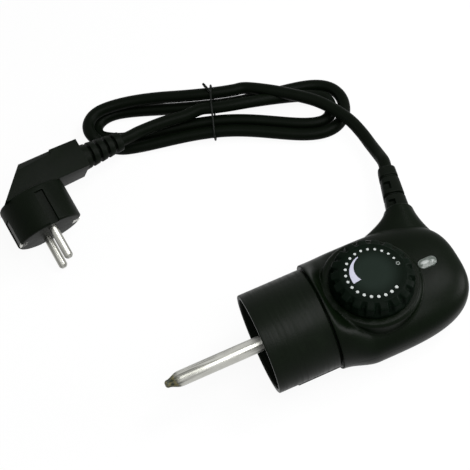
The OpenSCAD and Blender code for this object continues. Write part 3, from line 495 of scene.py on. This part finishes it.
def hankPoint(angle):
    flat = hankFlat(angle)
    c, s = math.cos(math.radians(hank["turn"])), math.sin(math.radians(hank["turn"]))
    x, y = hank["middle"]
    return Vector((x + flat.x * c - flat.y * s, y + flat.x * s + flat.y * c, hankHeight(angle)))


def curveThrough(points, steps):
    spare = [2 * points[0] - points[1], *points, 2 * points[-1] - points[-2]]
    out = []
    for a, b, c, d in zip(spare, spare[1:], spare[2:], spare[3:]):
        for j in range(steps):
            t = j / steps
            out.append(0.5 * (2 * b + (c - a) * t + (2 * a - 5 * b + 4 * c - d) * t * t
                              + (3 * b - a - 3 * c + d) * t ** 3))
    return out + [points[-1]]


def wayOut(place, direction):
    return (place.to_3x3() @ Vector(direction)).normalized()


bootWay = wayOut(neckPlace, (0, 0, 1))
bootEnd = neckPlace @ Vector((0, 0, cord["bootLength"])) / mm
plugWay = wayOut(plugPlace, (1, 0, 0))
plugBootEnd = plugPlace @ Vector(cord["plugBootEnd"]) / mm
loopSteps = int((hank["end"] - hank["start"]) / hank["step"])
loops = [hankPoint(hank["start"] + hank["step"] * i) for i in range(loopSteps + 1)]
startWay = (loops[1] - loops[0]).normalized()
endWay = (loops[-1] - loops[-2]).normalized()
straight = 2 * cord["radius"]
toHank = curveThrough([bootEnd, bootEnd + straight * bootWay, *[Vector(p) for p in toHankRoute],
                       loops[0] - straight * startWay, loops[0]], cord["steps"])
toPlug = curveThrough([loops[-1], loops[-1] + straight * endWay, *[Vector(p) for p in toPlugRoute],
                       plugBootEnd + straight * plugWay, plugBootEnd], cord["steps"])
cordLine = [p * mm for p in toHank[:-1] + loops + toPlug[1:]]
cordLength = sum((b - a).length for a, b in zip(cordLine, cordLine[1:]))
print("cord length", round(cordLength, 4))


def tubeCurve(name, lines, radius, paint, resolution, cyclic=()):
    data = bpy.data.curves.new(name, "CURVE")
    data.dimensions = "3D"
    data.bevel_depth = radius
    data.bevel_resolution = resolution
    data.use_fill_caps = True
    for i, line in enumerate(lines):
        spline = data.splines.new("POLY")
        spline.points.add(len(line) - 1)
        for point, spot in zip(spline.points, line):
            point.co = (*spot, 1)
        spline.use_cyclic_u = i in cyclic
        spline.use_smooth = True
    data.materials.append(paints[paint])
    piece = bpy.data.objects.new(name, data)
    bpy.context.scene.collection.objects.link(piece)
    return piece


mainsCord = tubeCurve("mainsCord", [cordLine], cord["radius"] * mm, "sheath", 7)
register(mainsCord, "housing", ("cord_to_hank", "cord_hank", "cord_to_plug"))

# twist tie: a loop of coated wire round the outer passes of the hank's waist, with two twisted ends
tie = {"radius": 0.55, "gap": 1.1, "arc": 6, "endLength": 7, "endRadius": 0.55, "endTurns": 2, "endSteps": 48,
       "endLean": 0.6}


def passAt(angle):
    return Vector((hankFlat(angle).y, hankHeight(angle)))


def tieLines():
    passes = [passAt(a) for a in (270, 810, 90, 450)]
    reach = cord["radius"] + tie["radius"] + tie["gap"] - hank["lift"] / 4
    lean = math.degrees(math.atan2(*reversed(passes[1] - passes[0]))) + 90
    fall = math.degrees(math.atan2(*reversed(passes[3] - passes[2]))) + 90
    turns = [(270, lean), (lean, 90), (90, fall), (fall, -90)]
    loop = []
    for middle, (start, end) in zip(passes, turns):
        count = max(2, int(abs(end - start) / tie["arc"]))
        for i in range(count + 1):
            a = math.radians(start + (end - start) * i / count)
            loop.append(Vector((0, middle.x + reach * math.cos(a), middle.y + reach * math.sin(a))))
    top = Vector((0, passes[2].x - cord["radius"], passes[2].y + reach))
    lines = [loop]
    for start in (0, 180):
        strand = []
        for i in range(tie["endSteps"] + 1):
            t = i / tie["endSteps"]
            a = math.radians(start + 360 * tie["endTurns"] * t)
            strand.append(top + Vector((-tie["endLength"] * t * tie["endLean"],
                                        tie["endRadius"] * math.cos(a) + tie["endLength"] * t,
                                        tie["endRadius"] * math.sin(a) + tie["radius"])))
        lines.append(strand)
    place = Matrix.Translation((*hank["middle"], 0)) @ Matrix.Rotation(math.radians(hank["turn"]), 4, "Z")
    return [[place @ p * mm for p in line] for line in lines]


twistTie = tubeCurve("twistTie", tieLines(), tie["radius"] * mm, "tie", 3, (0,))
register(twistTie, "housing", ("twist_tie",))
print("cord and tie")

# strain relief on the body: three squarish blocks with deep grooves between them and windows in their flats
boot = {"root": 6.1, "tip": 4.85, "groove": 4.1, "grooveWidth": 1.9, "grooves": (0.31, 0.745), "grooveRound": 0.3,
        "windows": ((0.03, 0.17), (0.42, 0.60)), "windowWidth": 3.6, "windowAside": 2.4, "depth": 2.2,
        "squareness": 3.2, "squareFrom": 3.8, "flange": (6.5, -6.9, -4.1), "stem": 6.05, "stemEnd": 0.1,
        "round": 0.5, "tipRound": 0.8}


def makeBoot():
    length, half, edge, soft = cord["bootLength"], boot["grooveWidth"] / 2, boot["round"], boot["grooveRound"]

    def radiusAt(z):
        return boot["root"] + (boot["tip"] - boot["root"]) * z / length

    flange, low, high = boot["flange"]
    profile = [(cord["bore"], low), (flange, low), (flange, high), (boot["stem"], high), (radiusAt(0), boot["stemEnd"])]
    for share in boot["grooves"]:
        z = length * share
        low, high = z - half, z + half
        profile += rounded(radiusAt(low) - edge, low - edge, edge, 0, 90, 4)
        profile += [(boot["groove"] + soft, low), (boot["groove"], low + soft), (boot["groove"], high - soft),
                    (boot["groove"] + soft, high)]
        profile += rounded(radiusAt(high) - edge, high + edge, edge, -90, 0, 4)
    edge = boot["tipRound"]
    profile += rounded(boot["tip"] - edge, length - edge, edge, 0, 90, 5)
    profile += [(cord["bore"], length)]
    bm = spun(profile, 96)
    power = boot["squareness"]
    for v in bm.verts:
        reach = math.hypot(v.co.x, v.co.y)
        if reach > boot["squareFrom"] and v.co.z > 0:
            corner = (abs(v.co.x / reach) ** power + abs(v.co.y / reach) ** power) ** (-1 / power)
            v.co.x *= corner
            v.co.y *= corner
    cutters = bmesh.new()
    for low, high in boot["windows"]:
        middle = length * (low + high) / 2
        for side in (-1, 1):
            place = Matrix.Translation((side * boot["windowAside"], side * radiusAt(middle), middle))
            blockAt(cutters, place, (boot["windowWidth"], 2 * boot["depth"], length * (high - low)))
    bevelAll(cutters, 0.4, 2)
    finishPiece("strainRelief", cutOut(bm, cutters), neckPlace, "boot", "housing", ("cord_boot",), 35)


makeBoot()

# body: a loft from a round collar to a flat rounded tail, with the dial's boss and the neck blended in
body = {"collar": 27.8, "start": 33.6, "blend": 18.5, "topBlend": 8, "topShare": 5, "saddle": 3,
        "saddleX": (34.5, 40, 42, 55), "saddleY": (-32, -21, -14, -2), "middle": 58, "end": 110.2, "halfWidth": 31.4,
        "shift": 1, "top": 10, "fall": 0.016, "centre": -5, "lift": 1.5, "flat": 1.2, "planPower": 3.08,
        "upPower": 2.6, "downPower": 2.28, "heightPower": 0.75, "rings": 72, "evenShare": 0.4, "ringPower": 1.12,
        "sides": 120, "voxel": 0.45, "smoothing": 6, "wall": 2.1, "split": -4, "seam": 0.1, "facing": 0.7,
        "spigot": (22.1, 23.7, 30, 33.7, 34.6), "spigotRound": 0.2, "spigotGap": 0.8}
neck = {"back": 18, "radius": 7.9, "front": 23.5, "tail": 7.8, "power": 1.5, "drop": 9, "rings": 13, "sides": 60}
boss = {"top": -8.3, "radius": 25, "rim": 1, "rimHeight": 1.5, "edge": 0.6, "foot": ((0.15, 0.3), (0, -0.4)),
        "depth": 22, "well": 16}


def bend(value, power):
    return math.copysign(abs(value) ** power, value)


# soft rise of the shell between the collar and the near side of the dial's boss
def saddleShare(x, y):
    def within(places, value):
        return smoothStep(*places[:2], value) * (1 - smoothStep(*places[2:], value))

    return within(body["saddleX"], x) * within(body["saddleY"], y)


def bodySection(x):
    past = max(0, (x - body["middle"]) / (body["end"] - body["middle"]))
    share = max(0, 1 - past ** body["planPower"]) ** (1 / body["planPower"])
    blend = smoothStep(body["start"], body["start"] + body["blend"], x)
    topBlend = smoothStep(body["start"], body["start"] + body["topBlend"], x)
    centre = body["centre"] + body["lift"] * past ** 2
    half = body["halfWidth"] * share
    upper = (body["top"] - body["fall"] * (x - body["middle"]) - centre) * share ** body["heightPower"]
    lower = (centre - floorHeight + body["flat"]) * share ** body["heightPower"]
    ring = []
    for i in range(body["sides"]):
        a = 2 * math.pi * i / body["sides"]
        c, s = math.cos(a), math.sin(a)
        power = 2 / (body["upPower"] if s >= 0 else body["downPower"])
        y = body["shift"] * share + half * bend(c, power)
        rise = blend + (topBlend - blend) * max(0, s) ** body["topShare"]
        z = centre + (upper if s >= 0 else lower) * bend(s, power)
        z += body["saddle"] * saddleShare(x, y) if s > 0 else 0
        roundY, roundZ = body["collar"] * c, body["collar"] * s
        ring.append(Vector((x, roundY + (y - roundY) * blend, max(floorHeight, roundZ + (z - roundZ) * rise))))
    return ring


# cuts along a plane, and can take away what lies behind it
def cutAlong(bm, spot, way, clear=True):
    return bmesh.ops.bisect_plane(bm, geom=bm.verts[:] + bm.edges[:] + bm.faces[:], dist=1e-4, plane_co=spot,
                                  plane_no=way, clear_inner=clear)["geom_cut"]


# keeps one side of a level cut and closes it
def halfOf(bm, side, level):
    part = bm.copy()
    cut = cutAlong(part, (0, 0, level), (0, 0, side))
    bmesh.ops.holes_fill(part, edges=[e for e in cut if isinstance(e, bmesh.types.BMEdge)], sides=0)
    return part


def makeShell():
    length, even = body["end"] - body["start"], body["evenShare"]
    turns = [math.pi / 2 * i / body["rings"] for i in range(body["rings"])]
    stops = [body["start"] + length * (even * t * 2 / math.pi + (1 - even) * math.sin(t)) ** body["ringPower"]
             for t in turns]
    shell = lofted([bodySection(x) for x in stops])
    bmesh.ops.recalc_face_normals(shell, faces=shell.faces)
    well = bmesh.new()
    r, top, rise = boss["radius"], boss["top"], boss["well"]
    wellPlace = inMillimetres @ dialPlace @ Matrix.Translation((0, 0, top + rise / 2))
    bmesh.ops.create_cone(well, cap_ends=True, segments=128, radius1=r, radius2=r, depth=rise, matrix=wellPlace)
    return cutOut(shell, well)


def makeNeck():
    rings = []
    for i in range(neck["rings"] + 1):
        t = i / neck["rings"]
        back = neck["back"] * (1 - t)
        sink = back * math.sin(math.radians(neck["drop"]))
        ring = []
        for k in range(neck["sides"]):
            a = 2 * math.pi * k / neck["sides"]
            wide = neck["front"] if math.cos(a) < 0 else neck["tail"]
            reach = neck["radius"] + wide * (1 - t) ** neck["power"]
            ring.append(Vector((reach * math.cos(a), neck["radius"] * math.sin(a) + sink, -back)))
        rings.append(ring)
    bm = lofted(rings)
    bmesh.ops.transform(bm, matrix=inMillimetres @ neckPlace, verts=bm.verts)
    return bm


def makeBoss():
    r, top, edge = boss["radius"], boss["top"], boss["edge"]
    flat, rimEnd = r - boss["rim"] - edge, top - boss["rimHeight"]
    foot = [(r - back, rimEnd + rise) for back, rise in boss["foot"]]
    bm = spun([(0, top), (flat, top), *rounded(flat, top - edge, edge, 90, 35, 3), *foot, (r, -boss["depth"]),
               (0, -boss["depth"])], 128)
    bmesh.ops.transform(bm, matrix=inMillimetres @ dialPlace, verts=bm.verts)
    return bm


def makeBody():
    whole = joined(makeShell(), makeNeck(), makeBoss())
    bmesh.ops.recalc_face_normals(whole, faces=whole.faces)
    whole = worked(whole, ("REMESH", {"mode": "VOXEL", "voxel_size": body["voxel"]}),
                   ("SMOOTH", {"factor": 0.5, "iterations": body["smoothing"]}))
    inner, outer, first, wallStart, wallEnd = body["spigot"]
    soft, wallTop = body["spigotRound"], body["collar"] - body["spigotGap"]
    ring = spun([(inner, first), (outer - soft, first), (outer, first + soft), (outer, wallStart),
                 (wallTop, wallStart), (wallTop, wallEnd), (inner, wallEnd)], 120)
    bmesh.ops.transform(ring, matrix=alongX, verts=ring.verts)
    bmesh.ops.recalc_face_normals(ring, faces=ring.faces)
    # the shell's own face at the collar is taken out, since the spigot's ring closes it
    facing = body["start"] + body["facing"]
    for name, side, node in (("housingUpper", 1, "housing_upper"), ("housingLower", -1, "housing_lower")):
        half = whole.copy()
        level = body["split"] + side * body["seam"]
        cutAlong(half, (0, 0, level), (0, 0, side))
        cutAlong(half, (facing, 0, 0), (1, 0, 0), False)
        collarFaces = [f for f in half.faces if f.calc_center_median().x < facing + 0.02 and f.normal.x < -0.7]
        bmesh.ops.delete(half, geom=collarFaces, context="FACES")
        half = worked(half, ("SOLIDIFY", {"thickness": body["wall"], "offset": -1.0,
                                          "use_even_offset": False}))
        if side > 0:
            middle, reach = lampLens["z"], lampLens["cut"]
            half = cutOut(half, lampBlock(lampLens["gap"], middle - reach, middle + reach), "FAST")
        half = joined(half, halfOf(ring, side, level))
        finishPiece(name, half, asDrawn, "body", "housing", (node,), 60, recalc=False)
    ring.free()
    whole.free()


# lamp: an oval lens that stands a little proud of its hole
lampLens = {"length": 9.8, "width": 5.4, "z": 8.9, "gap": 0.5, "cut": 6, "dome": 0.9,
            "domeSteps": (0.5, 0.5, 0.6, 0.6), "skirt": 5}


def lampBlock(gap, low, high):
    length, width = lampLens["length"] + gap, lampLens["width"] + gap
    bm = bmesh.new()
    bmesh.ops.create_circle(bm, cap_ends=True, segments=64, radius=width / 2)
    for v in bm.verts:
        v.co.x = lampX + v.co.x + math.copysign((length - width) / 2, v.co.x)
        v.co.z = low
    for v in pulledUp(bm):
        v.co.z = high
    return bm


def makeLens():
    bm = lampBlock(0, lampLens["z"] - lampLens["skirt"], lampLens["z"])
    top = [f for f in bm.faces if f.calc_center_median().z > lampLens["z"] - 0.01]
    for share in lampLens["domeSteps"]:
        bmesh.ops.inset_region(bm, faces=top, thickness=share, depth=lampLens["dome"] * 0.1 / share,
                               use_even_offset=True)
    bevelAll(bm, 0.25, 3, 50)
    finishPiece("lampLens", bm, asDrawn, "lens", "housing", ("lamp_lens",), 60)


makeBody()
makeLens()
print("body and lamp")

# hood: a round sleeve with a thin rolled lip, a catch inside and a low rib along its near side
hoodShape = {"outer": 26, "inner": 23.8, "length": 33, "lip": 0.6, "insideFrom": 1.4, "rearRound": 0.7,
             "ridge": (30.8, 32, 23.2), "rib": (10.5, 33, 2.4, 0.6), "ribTurn": 31}


def makeHood():
    o, i, length = hoodShape["outer"], hoodShape["inner"], hoodShape["length"]
    lip, rear = hoodShape["lip"], hoodShape["rearRound"]
    ridgeStart, ridgeEnd, ridgeRadius = hoodShape["ridge"]
    profile = [(i, length), (i, ridgeEnd), (ridgeRadius, ridgeEnd), (ridgeRadius, ridgeStart), (i, ridgeStart),
               (i, hoodShape["insideFrom"]), *rounded(i + lip, lip, lip, 180, 270, 5),
               *rounded(o - lip, lip, lip, -90, 0, 5), (o, length - rear),
               *rounded(o - rear, length - rear, rear, 0, 90, 5)]
    bm = spun(profile, 160)
    bmesh.ops.transform(bm, matrix=alongX, verts=bm.verts)
    start, end, width, rise = hoodShape["rib"]
    thick = o - i
    rib = bmesh.new()
    middle = Matrix.Rotation(math.radians(hoodShape["ribTurn"]), 4, "X")
    middle = middle @ Matrix.Translation(((start + end) / 2, thick / 2 - o - rise, 0))
    blockAt(rib, middle, (end - start, thick, width))
    bevelAll(rib, 0.3, 2)
    finishPiece("connectorHood", joined(bm, rib), asDrawn, "hood", "housing", ("hood",), 35)


makeHood()

# dial: a knob with scalloped shoulder, a row of dots and a tapering wedge
knob = {"radius": 21, "height": 8, "topRings": (0, 4, 8, 12, 14.5), "top": 17, "topEdge": 0.9,
        "slope": ((18.2, -0.75), (19.2, -1.25)), "shoulder": (19.3, -2.55, 1.1), "side": ((20.55, -3.4), (20.75, -4.2)),
        "rim": (-5.2, -6.4), "rimEdge": 0.4, "bore": (3, -4), "notches": 18, "notchSteps": 16, "depth": 1.5,
        "notchFrom": 15.8, "notchTo": -6.6, "notchIn": (16.6, 19.4), "notchOut": (-5.4, -6.5),
        "notchEdge": (0.16, 0.50), "sink": 0.35, "sinkOut": (-2.5, -5)}
marks = {"ring": 13.4, "count": 21, "step": 15, "small": 0.62, "large": 0.85, "taper": 0.93, "height": 0.1,
         "offRing": (1.05, 0.55), "wedgeOuter": 11.4, "wedgeThin": 0.5, "wedgeThick": 4.4, "wedgeTurn": (105, 190),
         "wedgeSteps": 40, "wedgeSwell": 1.3}


def makeKnob():
    r, h, edge = knob["radius"], knob["height"], knob["topEdge"]
    bore, boreTop = knob["bore"]
    shoulderR, shoulderZ, shoulderRound = knob["shoulder"]
    profile = [(ring, 0) for ring in knob["topRings"]]
    profile += [*rounded(knob["top"] - edge, -edge, edge, 90, 50, 4), *knob["slope"]]
    profile += [*rounded(shoulderR, shoulderZ, shoulderRound, 45, 8, 5), *knob["side"]]
    profile += [(r, z) for z in knob["rim"]]
    edge = knob["rimEdge"]
    profile += [(r, -h + edge), (r - edge, -h), (bore, -h), (bore, boreTop), (0, boreTop)]
    bm = spun(profile, knob["notches"] * knob["notchSteps"])
    for v in bm.verts:
        reach = math.hypot(v.co.x, v.co.y)
        if reach < knob["notchFrom"] or v.co.z < knob["notchTo"]:
            continue
        around = math.degrees(math.atan2(v.co.y, v.co.x)) / (360 / knob["notches"]) - 0.5
        off = abs(around - round(around)) * 2
        wall = smoothStep(*knob["notchIn"], reach) * (1 - smoothStep(*knob["notchOut"], v.co.z))
        scoop = (1 - smoothStep(*knob["notchEdge"], off)) * wall * knob["depth"]
        v.co.x *= 1 - scoop / reach
        v.co.y *= 1 - scoop / reach
        v.co.z -= scoop * knob["sink"] * (1 - smoothStep(*knob["sinkOut"], v.co.z))
    finishPiece("dialKnob", bm, dialPlace, "dial", "dial", ("dial_knob",), 50)


def makeMarks():
    ring, height = marks["ring"], marks["height"]
    bm = bmesh.new()
    for i in range(1, marks["count"]):
        a = math.radians(i * marks["step"])
        size = marks["small"] + (marks["large"] - marks["small"]) * i / (marks["count"] - 1)
        place = Matrix.Translation((ring * math.cos(a), ring * math.sin(a), height / 2))
        bmesh.ops.create_cone(bm, cap_ends=True, segments=24, radius1=size, radius2=size * marks["taper"],
                              depth=height, matrix=place)
    finishPiece("scaleDots", bm, dialPlace, "marks", "dial", ("dial_marks",), 30)
    outer, inner = marks["offRing"]
    off = spun([(inner, 0), (outer, 0), (outer, height), (inner, height)], 24)
    bmesh.ops.translate(off, verts=off.verts, vec=(ring, 0, 0))
    finishPiece("offRing", off, dialPlace, "faint", "dial", (), 30)
    wedge = bmesh.new()
    steps, outer = marks["wedgeSteps"], marks["wedgeOuter"]
    thin, thick = marks["wedgeThin"], marks["wedgeThick"]
    start, end = marks["wedgeTurn"]
    rims = []
    for k in range(steps + 1):
        a = math.radians(start + (end - start) * k / steps)
        inner = outer - thin - (thick - thin) * (k / steps) ** marks["wedgeSwell"]
        rims.append([wedge.verts.new((r * math.cos(a), r * math.sin(a), 0)) for r in (outer, inner)])
    edges = [wedge.edges.new((rims[k][side], rims[k + 1][side])) for side in (0, 1) for k in range(steps)]
    bmesh.ops.bridge_loops(wedge, edges=edges)
    bmesh.ops.translate(wedge, verts=pulledUp(wedge), vec=(0, 0, height))
    finishPiece("scaleWedge", wedge, dialPlace, "wedge", "dial", (), 30)


makeKnob()
makeMarks()
print("dial")

# probe: a bright tube that narrows at its front, and a stained cone with a small round nose
# heights of the tube count outwards from the hood's mouth, and those of the tip from the tube's end
probe = {"radius": 4, "rear": 3.6, "bore": 1.05, "step": -30, "end": -43, "floor": 43.6, "reach": 44, "front": 3.45,
         "narrowing": [(3.64, 43.4), (3.82, 42.7), (3.94, 41.9), (4, 41)],
         "cone": [(3.1, 0.8), (2.65, 1.8), (2.25, 2.8), (2.05, 3.4), (2, 4)], "nose": 1.5, "tipLength": 5.6}


def makeProbe():
    r, rear, bore, reach, front = (probe[key] for key in ("radius", "rear", "bore", "reach", "front"))
    tube = spun([(0, reach), (front, reach), *probe["narrowing"], (r, probe["step"]), (rear, probe["step"]),
                 (rear, probe["end"]), (bore, probe["end"]), (bore, probe["floor"]), (0, probe["floor"])], 64)
    finishPiece("probeTube", tube, turned(0, 0, 0, (-90, "Y")), "probe", "housing", ("probe_tube",), 40)
    nose, length = probe["nose"], probe["tipLength"]
    noseRadius = probe["cone"][-1][0]
    tip = spun([(0, 0), (front, 0), *probe["cone"], *rounded(noseRadius - nose, length - nose, nose, 0, 90, 5),
                (0, length)], 64)
    finishPiece("probeTip", tip, turned(-reach, 0, 0, (-90, "Y")), "probe", "housing", ("probe_tip",), 40)


makeProbe()

# plug: a round front with a side grip, a ribbed boot, two pins and earth clips
# pockets and the cut edges of the grip are mirrored to the other side
plug = {"radius": 19, "depth": 23, "edge": 1.5,
        "pockets": (((0, 9, 18.4), (5.2, 21, 3.2)), ((18.6, 7, 0), (3, 16, 8.8))),
        "grip": ((-17, 22.5, 13), (0.5, 40, 12.2), (36, 40, 9.4), (36, 23, 9.4)), "gripEdge": 1.3,
        "chamfer": (-22, 19, 5.5)}
plugRelief = {"start": 36, "root": 7.5, "tip": 5.5, "rings": 4, "gap": 1.5, "groove": 2.2, "edge": 0.4,
              "edgeGap": 0.45, "tipEdge": 0.6}


def makePlug():
    r, depth, edge = plug["radius"], plug["depth"], plug["edge"]
    profile = [(0, 0), (r - edge, 0), *rounded(r - edge, edge, edge, -90, 0, 5), (r, depth - edge),
               *rounded(r - edge, depth - edge, edge, 0, 90, 5), (0, depth)]
    front = spun(profile, 128)
    bmesh.ops.transform(front, matrix=Matrix.Rotation(math.radians(-90), 4, "X"), verts=front.verts)
    pockets = bmesh.new()
    for side in (-1, 1):
        for (x, y, z), size in plug["pockets"]:
            blockAt(pockets, Matrix.Translation((side * x, y, side * z)), size)
    bevelAll(pockets, 0.35, 2)
    bmesh.ops.recalc_face_normals(front, faces=front.faces)
    front = cutOut(front, pockets)
    grip = bmesh.new()
    grip.faces.new([grip.verts.new((x, y, -z)) for x, y, z in plug["grip"]])
    for v in pulledUp(grip):
        v.co.z = -v.co.z
    bmesh.ops.recalc_face_normals(grip, faces=grip.faces)
    # the grip's outer edges are cut back over part of its length
    start, end, cutBack = plug["chamfer"]
    x, y, z = plug["grip"][1]
    edges = bmesh.new()
    for side in (-1, 1):
        place = Matrix.Translation(((start + end) / 2, y, side * z)) @ Matrix.Rotation(math.radians(45), 4, "X")
        blockAt(edges, place, (end - start, cutBack, cutBack))
    grip = cutOut(grip, edges)
    bevelAll(grip, plug["gripEdge"], 4, 20)
    return finishPiece("plugBody", joined(front, grip), plugPlace, "plug", "housing", ("plug_body",), 35)


def makePlugBoot():
    endX, endY, endZ = cord["plugBootEnd"]
    length, root, tip = endX - plugRelief["start"], plugRelief["root"], plugRelief["tip"]
    edge, half = plugRelief["edge"], plugRelief["gap"] / 2
    profile = [(cord["bore"], 0), (root, 0)]
    pitch = length / (plugRelief["rings"] + 1)
    for i in range(1, plugRelief["rings"] + 1):
        z = pitch * i
        r = root + (tip - root) * z / length
        floor = r - plugRelief["groove"]
        profile += [*rounded(r - edge, z - half - plugRelief["edgeGap"], edge, 0, 90, 3), (floor, z - half),
                    (floor, z + half), *rounded(r - edge, z + half + plugRelief["edgeGap"], edge, -90, 0, 3)]
    edge = plugRelief["tipEdge"]
    profile += [*rounded(tip - edge, length - edge, edge, 0, 90, 4), (cord["bore"], length)]
    bm = spun(profile, 72)
    place = Matrix.Translation((plugRelief["start"], endY, endZ)) @ alongX
    bmesh.ops.transform(bm, matrix=place, verts=bm.verts)
    return finishPiece("plugBoot", bm, plugPlace, "boot", "housing", ("plug_boot",), 35)


# the pins are streaked along their length, and the earth clips are bright at the plug's front only, with painted shade
# along the strip behind it
inwards = wayOut(plugPlace, (0, 1, 0))
frontAt = inwards.dot(plugPlace.translation)
shadeDepth = (0.6, 1.6)
paints["clips"] = platedMetal("clipNickel", (0.50, 0.50, 0.46), 0.26,
                              paintedShadeAlong=(tuple(inwards), *(frontAt + depth * mm for depth in shadeDepth)))
pinLie = (plugPlace.to_3x3().normalized() @ Matrix.Rotation(math.radians(90), 3, "Z")).to_euler()
paints["pins"] = platedMetal("pinNickel", (0.37, 0.37, 0.34), 0.26, streaks=0.85, lie=tuple(pinLie))
nodes["plug_earth_clips"].data.materials[0] = paints["clips"]
nodes["plug_pins"].data.materials[0] = paints["pins"]
plugBody = makePlug()
plugBoot = makePlugBoot()
print("plug")

# floor, backdrop and light
stage = {"size": 6, "below": 0.1, "floorShow": 0.93, "worldLight": 0.2}


def makeStage():
    bm = bmesh.new()
    bmesh.ops.create_grid(bm, x_segments=1, y_segments=1, size=stage["size"] / 2)
    mesh = bpy.data.meshes.new("floor")
    bm.to_mesh(mesh)
    bm.free()
    floor = bpy.data.objects.new("floor", mesh)
    floor.location = (0, 0, (floorHeight - stage["below"]) * mm)
    bpy.context.scene.collection.objects.link(floor)
    p = Paint("floorWhite")
    p.set(Base_Color=(0.86, 0.86, 0.86), Roughness=0.9)
    white = p.node("ShaderNodeEmission", {}, [(1, 1, 1), 1.0])
    seen = p.node("ShaderNodeLightPath", {}, [], "Is Camera Ray")
    for name in ("Is Glossy Ray", "Is Transmission Ray"):
        seen = seen.maths("MAXIMUM", p.node("ShaderNodeLightPath", {}, [], name))
    mixed = p.node("ShaderNodeMixShader", {}, [seen * stage["floorShow"]])
    shader = mixed.socket.node
    p.tree.links.new(p.shader.outputs[0], shader.inputs[1])
    p.tree.links.new(white.socket, shader.inputs[2])
    p.tree.links.new(mixed.socket, p.end.inputs[0])
    mesh.materials.append(p.material)
    world = bpy.data.worlds.new("studio")
    world.use_nodes = True
    bpy.context.scene.world = world
    tree = world.node_tree
    back = tree.nodes["Background"]
    back.inputs[0].default_value = (1, 1, 1, 1)
    path = tree.nodes.new("ShaderNodeLightPath")
    seenBy = path.outputs["Is Camera Ray"]
    for name in ("Is Glossy Ray", "Is Transmission Ray"):
        either = tree.nodes.new("ShaderNodeMath")
        either.operation = "MAXIMUM"
        tree.links.new(seenBy, either.inputs[0])
        tree.links.new(path.outputs[name], either.inputs[1])
        seenBy = either.outputs[0]
    strength = tree.nodes.new("ShaderNodeMapRange")
    strength.inputs[3].default_value = stage["worldLight"]
    strength.inputs[4].default_value = 1
    tree.links.new(seenBy, strength.inputs[0])
    tree.links.new(strength.outputs[0], back.inputs[1])


# each light's place, aim, size and power
lights = {"near": ((0.1, -0.2, 0.59), (0.02, -0.01, 0.02), 0.4, 3.2),
          "tail": ((0.38, 0.09, 0.52), (0.09, -0.01, 0.01), 0.22, 1.8),
          "end": ((0.62, -0.12, 0.2), (0.04, -0.02, 0.01), 0.3, 2.8),
          "back": ((-0.45, 0.35, 0.55), (0, 0.05, 0), 0.4, 0.6)}


def makeLights():
    for name, (spot, aim, size, power) in lights.items():
        data = bpy.data.lights.new(name, "AREA")
        data.shape = "SQUARE"
        data.size = size
        data.energy = power
        lamp = bpy.data.objects.new(name, data)
        way = Vector(aim) - Vector(spot)
        lamp.matrix_world = Matrix.Translation(spot) @ way.to_track_quat("-Z", "Y").to_matrix().to_4x4()
        bpy.context.scene.collection.objects.link(lamp)


makeStage()
makeLights()
bpy.context.scene.view_settings.view_transform = "Standard"
print("stage")
